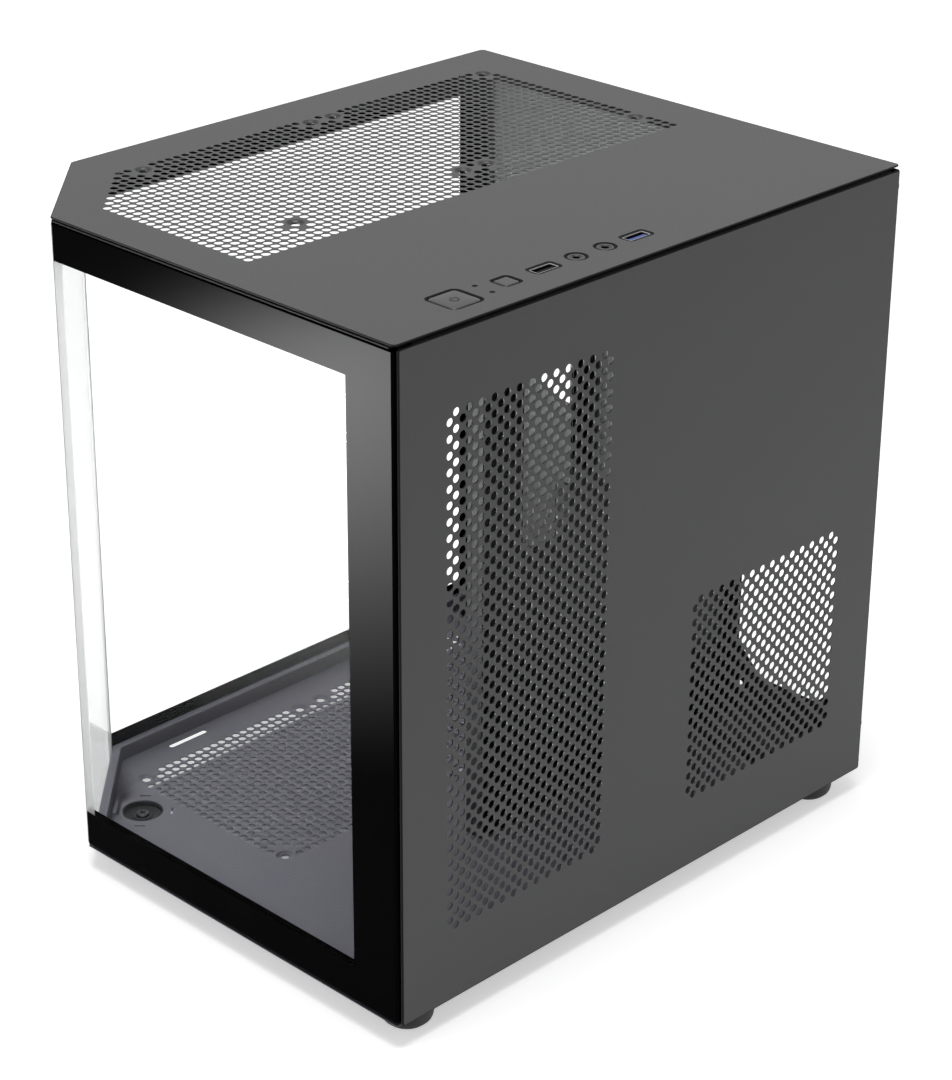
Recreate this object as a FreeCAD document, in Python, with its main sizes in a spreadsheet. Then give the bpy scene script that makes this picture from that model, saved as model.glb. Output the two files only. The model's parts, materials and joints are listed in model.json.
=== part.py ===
import FreeCAD, Part
import math
import os
import re
import Sketcher

# Mini tower computer case with two chambers side by side.
# The front, the front left corner and the left side are glass. The roof, the
# right side, the back and the floor are folded steel sheet.
# Every piece is drawn in the case's own corner frame: x runs from the left face
# to the right, y from the front face to the back, z up from the lower edge of
# the side panel. Each piece is then moved so that the origin lies on the
# ground, below the middle of the whole case.

# Driving sizes in millimetres
SIZES = (
    # outer box of the case, without feet and without what stands out at the back
    ("width", 275.0), ("depth", 330.0), ("height", 325.0), ("corner", 55.5),
    # steel sheet and the gaps between folded sheets
    ("sheet", 0.6), ("slide_gap", 0.3), ("seat_gap", 0.2), ("fold", 10.0), ("fold_small", 6.0),
    # glass panes, the gaps at their edges and the foam tape behind them
    ("pane", 4.0), ("joint_gap", 0.6), ("pane_low", 2.0), ("pane_top_gap", 3.0),
    ("pane_rear_gap", 1.4), ("tape", 1.0), ("tape_wide", 5.0), ("tape_up", 3.0),
    ("tape_end", 2.0),
    # roof plate with its hemmed rim
    ("rim", 1.4), ("rim_wide", 8.0),
    # floor tray: raised floor, walls and the rail behind the panes
    ("floor_up", 6.0), ("rail_in", 9.6), ("rail_up", 14.0), ("rail_edge", 0.4),
    # frame below the roof plate
    ("roof_gap", 0.4), ("roof_rail", 12.0), ("roof_ring", 20.0), ("window_right", 167.0),
    ("window_rear", 24.0), ("channel", 9.0),
    # partition between the chambers, with its cable and cooler openings
    ("tray_x", 184.0), ("tray_front", 134.0),
    ("pass_front", 171.0), ("pass_rear", 203.0), ("pass_low", 146.0), ("pass_top", 240.0),
    ("cool_front", 228.0), ("cool_rear", 300.0), ("cool_low", 200.0), ("cool_top", 290.0),
    ("cut_corner", 5.0),
    # seat of the circuit board: stand-offs and the edges of the board
    ("standoff", 6.5), ("standoff_flats", 5.0), ("standoff_bore", 1.25), ("board", 1.6),
    ("board_rear", 326.0), ("board_top", 306.0), ("board_edge_y", 10.2), ("board_edge_z", 6.4),
    ("board_span_y", 154.9), ("board_mid_z", 157.5), ("board_span_z", 203.2),
    # openings in the back
    ("shield_wide", 44.5), ("shield_tall", 158.8), ("shield_drop", 4.0),
    ("slot_pitch", 20.3), ("slot_tall", 12.7), ("slot_long", 112.0), ("slot_first", 19.0),
    ("slot_left", 62.0), ("ledge_out", 9.5), ("ledge_more", 3.0), ("cover", 0.8),
    ("cover_wide", 18.4), ("slot_screw", 1.5), ("screw_head", 3.0), ("screw_head_tall", 2.0),
    ("slot_screw_long", 4.0), ("screw_gap", 0.15),
    ("rear_fan_x", 70.0), ("rear_fan_z", 200.0), ("rear_fan", 57.0),
    ("supply_low", 28.0), ("supply_top", 150.0), ("supply_left", 193.0), ("supply_right", 262.0),
    ("supply_cut", 16.0), ("supply_screw", 2.0), ("supply_span_z", 138.0), ("supply_span_x", 64.0),
    # fans: screw pitch, distance between two fans and screw hole
    ("fan_pitch", 105.0), ("fan_step", 120.0), ("fan_hole", 2.3),
    ("roof_fan_x", 85.2), ("roof_fan_y", 124.6), ("floor_fan_x", 84.6), ("floor_fan_y", 109.6),
    # vents: each one stands for a block of small punched holes
    ("vent", 14.0), ("vent_edge", 1.0), ("dish", 4.6),
    ("grid_step", 20.0), ("grid_x", 36.6), ("grid_y", 33.1), ("floor_grid_x", 37.8),
    ("floor_grid_y", 72.0), ("floor_grid_step", 39.0), ("stagger_step", 14.5), ("tall_y", 37.0),
    ("tall_z", 46.7), ("low_y", 202.3), ("low_z", 48.2),
    # feet with their wells in the floor
    ("foot_drop", 12.0), ("foot_wide", 12.4), ("foot_left", 20.6), ("foot_right", 16.5),
    ("foot_end", 21.0), ("foot_corner_x", 55.9), ("foot_corner_y", 35.0), ("foot_shaft", 9.0),
    ("pad_thick", 1.6), ("pad_seat", 0.8), ("pad_in", 1.4), ("pad_gap", 0.1),
    ("well", 10.3), ("well_deep", 2.6), ("foot_screw", 1.9), ("foot_head", 3.4),
    ("foot_head_tall", 1.8), ("foot_screw_long", 9.4), ("foot_screw_gap", 0.15),
    # controls and sockets in the roof
    ("io_x", 254.7), ("io_half", 11.0), ("io_start", 43.0), ("io_end", 177.5), ("io_slab", 1.8),
    ("io_wall", 1.2), ("io_board_low", 308.4), ("io_ear", 6.0), ("io_ear_half", 6.0),
    ("io_ear_tall", 1.0), ("collar", 0.9), ("flush", 0.1), ("part_gap", 0.1),
    ("power_y", 54.3), ("power_cap", 16.8), ("power_cut", 3.0), ("power_travel", 0.8),
    ("power_stem", 2.5), ("reset_y", 85.1), ("reset_cap", 8.6), ("reset_cut", 1.6),
    ("reset_travel", 0.6), ("reset_stem", 2.0), ("cap_gap", 0.35), ("catch", 1.3),
    ("catch_tall", 1.2), ("switch", 6.0), ("switch_tall", 2.2), ("plunger", 1.7),
    ("plunger_tall", 0.4), ("lamp_y", 71.5), ("lamp_apart", 10.2), ("lamp", 1.1),
    ("socket_two_y", 108.0), ("socket_three_y", 166.8), ("socket_long", 13.1),
    ("socket_wide", 5.7), ("socket_wall", 0.4), ("bezel", 1.6), ("tongue_long", 11.1),
    ("tongue_thick", 1.8), ("tongue_side", 0.5), ("tongue_down", 1.4),
    ("jack_one_y", 128.2), ("jack_two_y", 146.6), ("jack_out", 4.2), ("jack_bore", 1.8),
    ("jack_floor", 1.0),
    # side panel with its hooked lips and its knobs
    ("panel_start", 2.6), ("panel_top_gap", 2.7), ("hem", 8.0), ("hook_start", 12.0),
    ("hook_tall", 3.4), ("hook_end", 6.0), ("rear_lip", 6.0), ("tab_wide", 13.0),
    ("tab_half", 8.0), ("knob_in", 8.5), ("knob_low", 22.5), ("knob_top", 312.0),
    ("knob", 4.5), ("knob_out", 6.0), ("knob_shank", 1.45), ("knob_long", 5.6),
    ("knob_hole", 1.8), ("nut_flats", 7.0), ("nut_tall", 2.4), ("nut_bore", 1.55),
    # snap studs of the left pane and their clips
    ("stud", 1.4), ("stud_base", 3.6), ("stud_foil", 0.6), ("stud_tip_gap", 0.4),
    ("clip_out", 3.0), ("clip_bore", 1.75), ("clip_gap", 0.1), ("clip_head", 4.2),
    ("clip_head_tall", 0.3), ("stud_front", 76.0), ("stud_rear", 306.0), ("stud_low", 7.0),
    ("stud_top_gap", 8.0),
    # front post behind the right border of the front pane
    ("post_left", 248.0), ("post_deep", 26.0), ("post_tape", 14.0),
    # drive bracket, and pads below the power supply
    ("drive_gap", 28.0), ("drive_front", 216.0), ("drive_rear", 312.0), ("drive_low", 176.0),
    ("drive_top", 286.0), ("drive_foot", 12.0), ("drive_span_y", 61.7), ("drive_span_z", 76.6),
    ("drive_hole", 1.9),
    ("supply_pad", 2.0), ("supply_pad_wide", 12.0), ("supply_pad_long", 60.0),
    ("supply_pad_front", 200.0), ("supply_pad_rear", 300.0), ("supply_pad_x", 198.0),
)

# Counts of vents and of other repeated pieces
ROOF_COLUMNS, ROOF_ROWS = 7, 14
FLOOR_COLUMNS, FLOOR_ROWS = 6, 6
TALL_COLUMNS, TALL_ROWS = 7, 17
LOW_COLUMNS, LOW_ROWS = 7, 7
SLOTS = 4
# Sides of the outlines that stand for larger round pieces
ROUND = 16
HEX = 6

# Places that follow from the driving sizes, from the right side inwards
SIDE_OUT = "(width - 2 * sheet - slide_gap)"
SIDE_IN = "(width - 3 * sheet - slide_gap)"
HOOK_OUT = "(width - 3 * sheet - 2 * slide_gap)"
HOOK_IN = "(width - 4 * sheet - 2 * slide_gap)"
WALL_OUT = "(width - 4 * sheet - 4 * slide_gap)"
WALL_IN = "(width - 5 * sheet - 4 * slide_gap)"
# from the back forwards
REAR_OUT = "(depth - sheet - slide_gap)"
REAR_IN = "(depth - 2 * sheet - slide_gap)"
REAR_SEAT = "(depth - 2 * sheet - slide_gap - seat_gap)"
LEDGE_END = "(depth + ledge_out)"
# from the roof down and from the floor up
RING_LOW = "(height - rim - roof_gap - sheet)"
WALL_TOP = "(height - rim - roof_gap - sheet - seat_gap)"
RAIL_LOW = "(height - rim - roof_gap - roof_rail)"
PANE_TOP = "(height - pane_top_gap)"
PANEL_TOP = "(height - panel_top_gap)"
CHANNEL_LOW = "(height - rim - roof_gap - channel)"
FLOOR_LOW = "(floor_up - sheet)"
FLOOR_SEAT = "(floor_up + seat_gap)"
WELL_LOW = "(floor_up - well_deep - sheet)"
POST_LOW = "(rail_up + seat_gap)"
POST_TOP = "(height - rim - roof_gap - roof_rail - seat_gap)"
# behind the panes
RAIL_FACE = "(pane + tape)"
RAIL_BACK = "(pane + tape + sheet)"
STUD_TIP = "(rail_in - sheet - stud_tip_gap)"
STUD_TOP = "(height - stud_top_gap)"
# board seat
SHIELD_RIGHT = "(tray_x - standoff - board + sheet)"
SHIELD_TOP = "(board_top - shield_drop)"
KNOB_X = "(width - knob_in)"
# controls
SLAB_TOP = "(height - sheet - seat_gap)"
SLAB_LOW = "(height - sheet - seat_gap - io_slab)"
FLUSH_TOP = "(height - flush)"
IO_BOARD_TOP = "(io_board_low + board)"

doc = FreeCAD.newDocument("Case")
sheet = doc.addObject("Spreadsheet::Sheet", "Sizes")
for row, (name, value) in enumerate(SIZES, start=1):
    sheet.set("A%d" % row, name)
    sheet.set("B%d" % row, repr(value))
    sheet.setAlias("B%d" % row, name)
doc.recompute()

NAMES = re.compile(r"\b(%s)\b" % "|".join(name for name, value in SIZES))
parts = []
cuts = []


def ex(text):
    """Expression text with every size name pointing at the sheet."""
    return NAMES.sub(r"Sizes.\1", text)


def num(text):
    """Value of an expression in millimetres."""
    return float(sheet.evalExpression(ex(text)))


def keep(item, label):
    """Name a finished piece and move it from the corner frame to the origin."""
    item.Label = label
    item.setExpression("Placement.Base.x", ex("-width / 2"))
    item.setExpression("Placement.Base.y", ex("-(depth + ledge_out) / 2"))
    item.setExpression("Placement.Base.z", ex("foot_drop"))
    parts.append(item)
    return item


def body(label):
    return doc.addObject("PartDesign::Body", label)


def draw(item, plane, at, wires):
    """Sketch parallel to an origin plane, every point bound to the sheet."""
    base = [o for o in item.Origin.OriginFeatures if o.Role == plane + "_Plane"][0]
    sketch = item.newObject("Sketcher::SketchObject", "Outline")
    sketch.AttachmentSupport = [(base, "")]
    sketch.MapMode = "FlatFace"
    sign = "-" if plane == "XZ" else ""
    sketch.setExpression("AttachmentOffset.Base.z", ex(sign + "(" + at + ")"))
    bound = []
    joints = []
    for wire in wires:
        start = sketch.GeometryCount
        if isinstance(wire, tuple):
            centre = FreeCAD.Vector(num(wire[0]), num(wire[1]), 0)
            up = FreeCAD.Vector(0, 0, 1)
            sketch.addGeometry(Part.Circle(centre, up, num(wire[2])), False)
            bound.append(("DistanceX", start, 3, wire[0]))
            bound.append(("DistanceY", start, 3, wire[1]))
            bound.append(("Radius", start, 0, wire[2]))
            continue
        spots = [FreeCAD.Vector(num(u), num(v), 0) for u, v in wire]
        total = len(wire)
        lines = [Part.LineSegment(spots[k], spots[(k + 1) % total]) for k in range(total)]
        sketch.addGeometry(lines, False)
        for k in range(total):
            after = start + (k + 1) % total
            joints.append(Sketcher.Constraint("Coincident", start + k, 2, after, 1))
            bound.append(("DistanceX", start + k, 1, wire[k][0]))
            bound.append(("DistanceY", start + k, 1, wire[k][1]))
    sketch.addConstraint(joints)
    first = sketch.ConstraintCount
    rules = []
    for kind, line, spot, text in bound:
        if kind == "Radius":
            rules.append(Sketcher.Constraint(kind, line, num(text)))
        else:
            rules.append(Sketcher.Constraint(kind, -1, 1, line, spot, num(text)))
    sketch.addConstraint(rules)
    for k, (kind, line, spot, text) in enumerate(bound):
        sketch.setExpression("Constraints[%d]" % (first + k), ex(text))
    return sketch


def add(item, plane, at, thick, wires):
    """Sheet, wall or block from a sketch, built towards plus x, y or z."""
    pad = item.newObject("PartDesign::Pad", "Wall")
    pad.Profile = draw(item, plane, at, wires)
    pad.setExpression("Length", ex(thick))
    pad.Reversed = plane == "XZ"
    item.Tip = pad
    return pad


def cut(item, plane, at, thick, wires):
    """Opening from a sketch, cut towards plus x, y or z."""
    pocket = item.newObject("PartDesign::Pocket", "Opening")
    pocket.Profile = draw(item, plane, at, wires)
    pocket.setExpression("Length", ex(thick))
    pocket.Reversed = plane != "XZ"
    item.Tip = pocket
    cuts.append(pocket)
    return pocket


def box(u_low, v_low, u_high, v_high):
    return [(u_low, v_low), (u_high, v_low), (u_high, v_high), (u_low, v_high)]


def cut_box(u_low, v_low, u_high, v_high, off):
    """Rectangle with its four corners cut at 45 degrees."""
    ul, uh = "%s + %s" % (u_low, off), "%s - %s" % (u_high, off)
    vl, vh = "%s + %s" % (v_low, off), "%s - %s" % (v_high, off)
    return [(ul, v_low), (uh, v_low), (u_high, vl), (u_high, vh),
            (uh, v_high), (ul, v_high), (u_low, vh), (u_low, vl)]


def around(u, v, half_u, half_v):
    """Rectangle about a centre."""
    low = "(%s) - (%s)"
    high = "(%s) + (%s)"
    return box(low % (u, half_u), low % (v, half_v), high % (u, half_u), high % (v, half_v))


def square(u, v, wide, off):
    """Square about a centre with cut corners."""
    low = "(%s) - (%s) / 2"
    high = "(%s) + (%s) / 2"
    return cut_box(low % (u, wide), low % (v, wide), high % (u, wide), high % (v, wide), off)


def hexagon(u, v, flats):
    wide = "(%s) / sqrt(3)" % flats
    half = "(%s) / 2" % flats
    u_far, u_near = "%s - " + wide, "%s - " + wide + " / 2"
    points = [(u_far % u, v), (u_near % u, "%s - %s" % (v, half))]
    points.append((u + " + " + wide + " / 2", "%s - %s" % (v, half)))
    points.append((u + " + " + wide, v))
    points.append((u + " + " + wide + " / 2", "%s + %s" % (v, half)))
    points.append((u_near % u, "%s + %s" % (v, half)))
    return points


def disc(u, v, radius, sides=8):
    """Round outline drawn with a few straight sides, its corners on the circle."""
    points = []
    for k in range(sides):
        turn = 360 * (k + 0.5) / sides
        points.append(("%s + (%s) * cos(%s)" % (u, radius, turn),
                       "%s + (%s) * sin(%s)" % (v, radius, turn)))
    return points


def left_end(inset):
    """Rear end of the corner face at an inset from the outside."""
    return (inset, "corner + (%s) * tan(22.5)" % inset)


def front_end(inset):
    """Front end of the corner face at an inset from the outside."""
    return ("corner + (%s) * tan(22.5)" % inset, inset)


def plan(inset, right, rear):
    """Whole outline of the case seen from above, with its front left corner."""
    return [(inset, rear), left_end(inset), front_end(inset), (right, inset), (right, rear)]


def strip(near, far, right, rear):
    """Band along the left side, the corner and the front, between two insets."""
    return [(near, rear), left_end(near), front_end(near), (right, near),
            (right, far), front_end(far), left_end(far), (far, rear)]


def fan_screws(centre_x, centre_y, fans):
    """Screw places of a row of fans, as pairs of expressions."""
    places = []
    for fan in range(fans):
        for a in ("-", "+"):
            for b in ("-", "+"):
                along = "%s + %d * fan_step %s fan_pitch / 2" % (centre_y, fan, b)
                places.append(("%s %s fan_pitch / 2" % (centre_x, a), along))
    return places


def punch(blank, label, axis, at, holes, turned, stretch=0):
    """Cut square vents, turned by an angle, through a sheet that is square to one axis."""
    thick = num("sheet")
    reach = num("vent / sqrt(2)")
    solids = []
    for u, v in holes:
        ring = []
        for k in range(5):
            turn = math.radians(turned + 90 * k)
            a, b = u + reach * math.cos(turn), v + reach * math.sin(turn)
            b += math.copysign(stretch / 2, b - v)
            spot = (a, b, at - thick) if axis == "z" else (at - thick, a, b)
            ring.append(FreeCAD.Vector(*spot))
        way = FreeCAD.Vector(0, 0, 3 * thick) if axis == "z" else FreeCAD.Vector(3 * thick, 0, 0)
        solids.append(Part.Face(Part.makePolygon(ring)).extrude(way))
    tool = doc.addObject("Part::Feature", label + "_vents")
    tool.Shape = Part.makeCompound(solids)
    result = doc.addObject("Part::Cut", label)
    result.Base = blank
    result.Tool = tool
    return keep(result, label)


def clear_of(u, v, places):
    """True where a vent centred at u, v keeps off the given screw places."""
    near = num("vent / 2 + dish + vent_edge")
    return all(abs(u - num(a)) > near or abs(v - num(b)) > near for a, b in places)


FEET = (
    ("front_left", "foot_corner_x", "foot_corner_y"),
    ("front_right", "width - foot_right", "foot_end"),
    ("rear_left", "foot_left", "depth - foot_end"),
    ("rear_right", "width - foot_right", "depth - foot_end"),
)
STUDS = [(y, z) for y in ("stud_front", "stud_rear") for z in ("stud_low", STUD_TOP)]
KNOBS = ("knob_low", "knob_top")
FLOOR_SCREWS = fan_screws("floor_fan_x", "floor_fan_y", 2)
ROOF_SCREWS = fan_screws("roof_fan_x", "roof_fan_y", 2)
REAR_SCREWS = fan_screws("rear_fan_x", "rear_fan_z", 1)
SLOT_LOWS = ["slot_first + %d * slot_pitch" % k for k in range(SLOTS)]

# Floor tray: one sheet folded down to the raised floor, up at its edges, out
# over the rail and down again to a lip below the panes
tray = body("floor_blank")
screws = [(x, y, "fan_hole") for x, y in FLOOR_SCREWS]
add(tray, "XY", FLOOR_LOW, "sheet", [plan("(rail_in - sheet)", SIDE_OUT, REAR_SEAT)] + screws)
add(tray, "XY", FLOOR_LOW, "rail_up - floor_up + sheet",
    [strip("(rail_in - sheet)", "rail_in", SIDE_OUT, REAR_SEAT)])
add(tray, "XY", "rail_up - sheet", "sheet", [strip(RAIL_FACE, "rail_in", SIDE_OUT, REAR_SEAT)])
add(tray, "XY", "0", "rail_up", [strip(RAIL_FACE, RAIL_BACK, SIDE_OUT, REAR_SEAT)])
add(tray, "XY", "0", "sheet", [strip("rail_edge", RAIL_BACK, SIDE_OUT, REAR_SEAT)])
add(tray, "XY", "sheet + slide_gap", "floor_up - sheet - slide_gap",
    [box(SIDE_IN, "hook_start", SIDE_OUT, REAR_SEAT)])
add(tray, "XY", FLOOR_LOW, "rail_up - floor_up + sheet",
    [box("(rail_in - sheet)", REAR_SEAT + " - sheet", "tray_x - seat_gap", REAR_SEAT)])
# round wells for the feet
for side, x, y in FEET:
    outer, inner = disc(x, y, "well", ROUND), disc(x, y, "well - sheet", ROUND)
    cut(tray, "XY", FLOOR_LOW, "sheet", [outer])
    add(tray, "XY", WELL_LOW, "well_deep + sheet", [outer, inner])
    add(tray, "XY", WELL_LOW, "sheet", [inner, disc(x, y, "foot_screw + foot_screw_gap")])
# holes for the clips of the left pane
cut(tray, "YZ", RAIL_FACE, "sheet", [disc(y, "stud_low", "clip_out + clip_gap")
                                     for y in ("stud_front", "stud_rear")])
# vents of the floor, each twice as long, clear of the fan screws
holes = []
longer = num("floor_grid_step - grid_step")
for i in range(FLOOR_COLUMNS):
    for j in range(FLOOR_ROWS):
        u = num("floor_grid_x + %d * grid_step" % i)
        v = num("floor_grid_y + %d * floor_grid_step" % j)
        if clear_of(u, v - longer / 2, FLOOR_SCREWS) and clear_of(u, v + longer / 2, FLOOR_SCREWS):
            holes.append((u, v))
punch(tray, "bottom_tray", "z", num(FLOOR_LOW), holes, 45, longer)

# Back: flat sheet, with an angle strip behind each side edge
back = body("rear_panel")
wires = [box(RAIL_FACE, "0", WALL_OUT, WALL_TOP)]
wires.append(box(SHIELD_RIGHT + " - shield_wide", SHIELD_TOP + " - shield_tall",
                 SHIELD_RIGHT, SHIELD_TOP))
for low in SLOT_LOWS:
    wires.append(box("slot_left - 3 * cover", low, "slot_left + slot_long", low + " + slot_tall"))
wires.append(("rear_fan_x", "rear_fan_z", "rear_fan"))
wires += [(x, z, "fan_hole") for x, z in REAR_SCREWS]
wires.append(cut_box("supply_left", "supply_low", "supply_right", "supply_top", "supply_cut"))
for a in ("-", "+"):
    for b in ("-", "+"):
        wires.append(("(supply_left + supply_right) / 2 %s supply_span_x / 2" % a,
                      "(supply_low + supply_top) / 2 %s supply_span_z / 2" % b, "supply_screw"))
wires += [disc(KNOB_X, z, "knob_hole") for z in KNOBS]
add(back, "XZ", REAR_IN, "sheet", wires)
# ledge that carries the slot covers
add(back, "XY", "slot_first - ledge_more",
    "%d * slot_pitch + slot_tall + 2 * ledge_more" % (SLOTS - 1),
    [box("slot_left", REAR_OUT, "slot_left + sheet", LEDGE_END)])
LEDGE_MIDDLE = "(" + REAR_OUT + " + " + LEDGE_END + ") / 2"
cut(back, "YZ", "slot_left", "sheet",
    [disc(LEDGE_MIDDLE, low + " + slot_tall / 2", "slot_screw + screw_gap")
     for low in SLOT_LOWS])
keep(back, "rear_panel")
item = body("rear_edge_left")
fold_face, flange_face = REAR_SEAT + " - fold", REAR_SEAT + " - sheet"
flange_end = RAIL_FACE + " + fold_small"
add(item, "XY", POST_LOW, POST_TOP + " - " + POST_LOW,
    [[(RAIL_FACE, fold_face), (RAIL_BACK, fold_face), (RAIL_BACK, flange_face),
      (flange_end, flange_face), (flange_end, REAR_SEAT), (RAIL_FACE, REAR_SEAT)]])
keep(item, "rear_edge_left")
item = body("rear_edge_right")
flange_end = WALL_OUT + " - fold_small"
add(item, "XY", "knob_low + nut_flats", "knob_top - knob_low - 2 * nut_flats",
    [[(WALL_OUT, fold_face), (WALL_OUT, REAR_SEAT), (flange_end, REAR_SEAT),
      (flange_end, flange_face), (WALL_IN, flange_face), (WALL_IN, fold_face)]])
keep(item, "rear_edge_right")

# Slot covers: flat strip inside the back with a tab bent out over the ledge
for k, low in enumerate(SLOT_LOWS, start=1):
    item = body("slot_cover_%d" % k)
    middle = low + " + slot_tall / 2"
    add(item, "XZ", REAR_SEAT + " - cover", "cover",
        [box("slot_left - seat_gap - cover", middle + " - cover_wide / 2",
             "slot_left + slot_long + 5 * cover", middle + " + cover_wide / 2")])
    add(item, "YZ", "slot_left - seat_gap - cover", "cover",
        [box(REAR_SEAT + " - cover", low + " + slide_gap",
             LEDGE_END, low + " + slot_tall - slide_gap"),
         disc(LEDGE_MIDDLE, middle, "slot_screw + screw_gap")])
    keep(item, "slot_cover_%d" % k)
item = body("slot_screws")
screws = [(LEDGE_MIDDLE, low + " + slot_tall / 2") for low in SLOT_LOWS]
add(item, "YZ", "slot_left - seat_gap - cover - screw_head_tall", "screw_head_tall",
    [disc(y, z, "screw_head", HEX) for y, z in screws])
add(item, "YZ", "slot_left - seat_gap - cover", "cover + slot_screw_long",
    [disc(y, z, "slot_screw") for y, z in screws])
keep(item, "slot_screws")

# Partition that carries the circuit board
item = body("motherboard_tray")
add(item, "YZ", "tray_x", "sheet",
    [box("tray_front", FLOOR_SEAT, REAR_SEAT, WALL_TOP),
     cut_box("pass_front", "pass_low", "pass_rear", "pass_top", "cut_corner"),
     cut_box("cool_front", "cool_low", "cool_rear", "cool_top", "cut_corner")])
add(item, "XY", FLOOR_SEAT, "sheet", [box("tray_x", "tray_front", "tray_x + fold", REAR_SEAT)])
add(item, "XY", WALL_TOP + " - sheet", "sheet",
    [box("tray_x", "tray_front", "tray_x + fold", REAR_SEAT)])
add(item, "XY", FLOOR_SEAT, WALL_TOP + " - " + FLOOR_SEAT,
    [box("tray_x", "tray_front", "tray_x + fold", "tray_front + sheet"),
     box("tray_x", REAR_SEAT + " - sheet", "tray_x + fold_small", REAR_SEAT)])
keep(item, "motherboard_tray")
item = body("board_standoffs")
wires = []
for y in ("board_rear - board_edge_y", "board_rear - board_edge_y - board_span_y"):
    for drop in ("0", "board_mid_z", "board_span_z"):
        z = "board_top - board_edge_z - %s" % drop
        wires += [hexagon(y, z, "standoff_flats"), (y, z, "standoff_bore")]
add(item, "YZ", "tray_x - standoff", "standoff", wires)
keep(item, "board_standoffs")

# Frame below the roof: flat ring with rails behind the panes, a rear rail and
# an upturned channel that takes the side panel
item = body("top_frame")
window = [("roof_ring", "depth - window_rear"), left_end("roof_ring"), front_end("roof_ring"),
          ("window_right", "roof_ring"), ("window_right", "depth - window_rear")]
add(item, "XY", RING_LOW, "sheet",
    [plan("rail_edge", WALL_OUT, REAR_OUT), window,
     box("io_x - io_half - slide_gap", "io_start - slide_gap",
         "io_x + io_half + slide_gap", "io_end + slide_gap")])
add(item, "XY", RAIL_LOW, "roof_rail", [strip(RAIL_FACE, RAIL_BACK, WALL_OUT, REAR_SEAT)])
add(item, "XY", RAIL_LOW, "roof_rail",
    [box(RAIL_FACE, REAR_SEAT + " - sheet", "tray_x - seat_gap", REAR_SEAT)])
add(item, "XY", CHANNEL_LOW, "channel", [box(WALL_IN, RAIL_FACE, WALL_OUT, REAR_SEAT)])
add(item, "XY", CHANNEL_LOW, "sheet", [box(WALL_IN, "hook_start", SIDE_OUT, REAR_SEAT)])
add(item, "XY", CHANNEL_LOW, PANEL_TOP + " - sheet - slide_gap - " + CHANNEL_LOW,
    [box(SIDE_IN, "hook_start", SIDE_OUT, REAR_SEAT)])
cut(item, "YZ", RAIL_FACE, "sheet", [disc(y, STUD_TOP, "clip_out + clip_gap")
                                     for y in ("stud_front", "stud_rear")])
keep(item, "top_frame")

# Front post: channel behind the right border of the front pane
item = body("front_post")
deep = RAIL_FACE + " + post_deep"
add(item, "XY", POST_LOW, POST_TOP + " - " + POST_LOW,
    [[("post_left", deep), ("post_left", RAIL_FACE), (WALL_OUT, RAIL_FACE), (WALL_OUT, deep),
      (WALL_IN, deep), (WALL_IN, RAIL_BACK), ("post_left + sheet", RAIL_BACK),
      ("post_left + sheet", deep)]])
keep(item, "front_post")

# Roof plate: thin sheet with a hem folded under its rim
roof = body("roof_blank")
ring = "+ 2 * cap_gap + 2 * collar + 2 * seat_gap"
screws = [(x, y, "fan_hole") for x, y in ROOF_SCREWS]
add(roof, "XY", "height - sheet", "sheet", [plan("0", "width", "depth")] + screws)
wires = [square("io_x", "power_y", "(power_cap " + ring + ")", "power_cut"),
         square("io_x", "reset_y", "(reset_cap " + ring + ")", "reset_cut")]
for side in ("-", "+"):
    wires.append(disc("io_x %s lamp_apart / 2" % side, "lamp_y", "lamp + seat_gap"))
for y in ("socket_two_y", "socket_three_y"):
    wires.append(around("io_x", y, "socket_wide / 2 + bezel + seat_gap",
                        "socket_long / 2 + bezel + seat_gap"))
for y in ("jack_one_y", "jack_two_y"):
    wires.append(disc("io_x", y, "jack_out + part_gap + collar + seat_gap", ROUND))
for wire in wires:
    cut(roof, "XY", "height - sheet", "sheet", [wire])
add(roof, "XY", "height - rim", "rim - sheet",
    [plan("0", "width", "depth"), plan("rim_wide", "width - rim_wide", "depth - rim_wide")])
holes = []
for i in range(ROOF_COLUMNS):
    for j in range(ROOF_ROWS):
        u = num("grid_x + %d * grid_step" % i)
        v = num("grid_y + %d * grid_step" % j)
        inside = u + v > num("corner + roof_ring * sqrt(2) + vent + vent_edge * sqrt(2)")
        if inside and clear_of(u, v, ROOF_SCREWS):
            holes.append((u, v))
punch(roof, "top_plate", "z", num("height - sheet"), holes, 45)

# Glass panes, mitred at the corner
slope = "pane * tan(22.5)"
item = body("front_glass")
add(item, "XY", "pane_low", PANE_TOP + " - pane_low",
    [[("corner + joint_gap / 2", "0"), (SIDE_OUT, "0"), (SIDE_OUT, "pane"),
      ("corner + joint_gap / 2 + " + slope, "pane")]])
keep(item, "front_glass")
item = body("corner_glass")
near = "joint_gap / 2 / sqrt(2)"
add(item, "XY", "pane_low", PANE_TOP + " - pane_low",
    [[("corner - " + near, near), ("corner + " + slope + " - " + near, "pane + " + near),
      ("pane + " + near, "corner + " + slope + " - " + near), (near, "corner - " + near)]])
keep(item, "corner_glass")
item = body("left_glass")
add(item, "XY", "pane_low", PANE_TOP + " - pane_low",
    [[("0", "depth - pane_rear_gap"), ("0", "corner + joint_gap / 2"),
      ("pane", "corner + joint_gap / 2 + " + slope), ("pane", "depth - pane_rear_gap")]])
keep(item, "left_glass")

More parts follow.
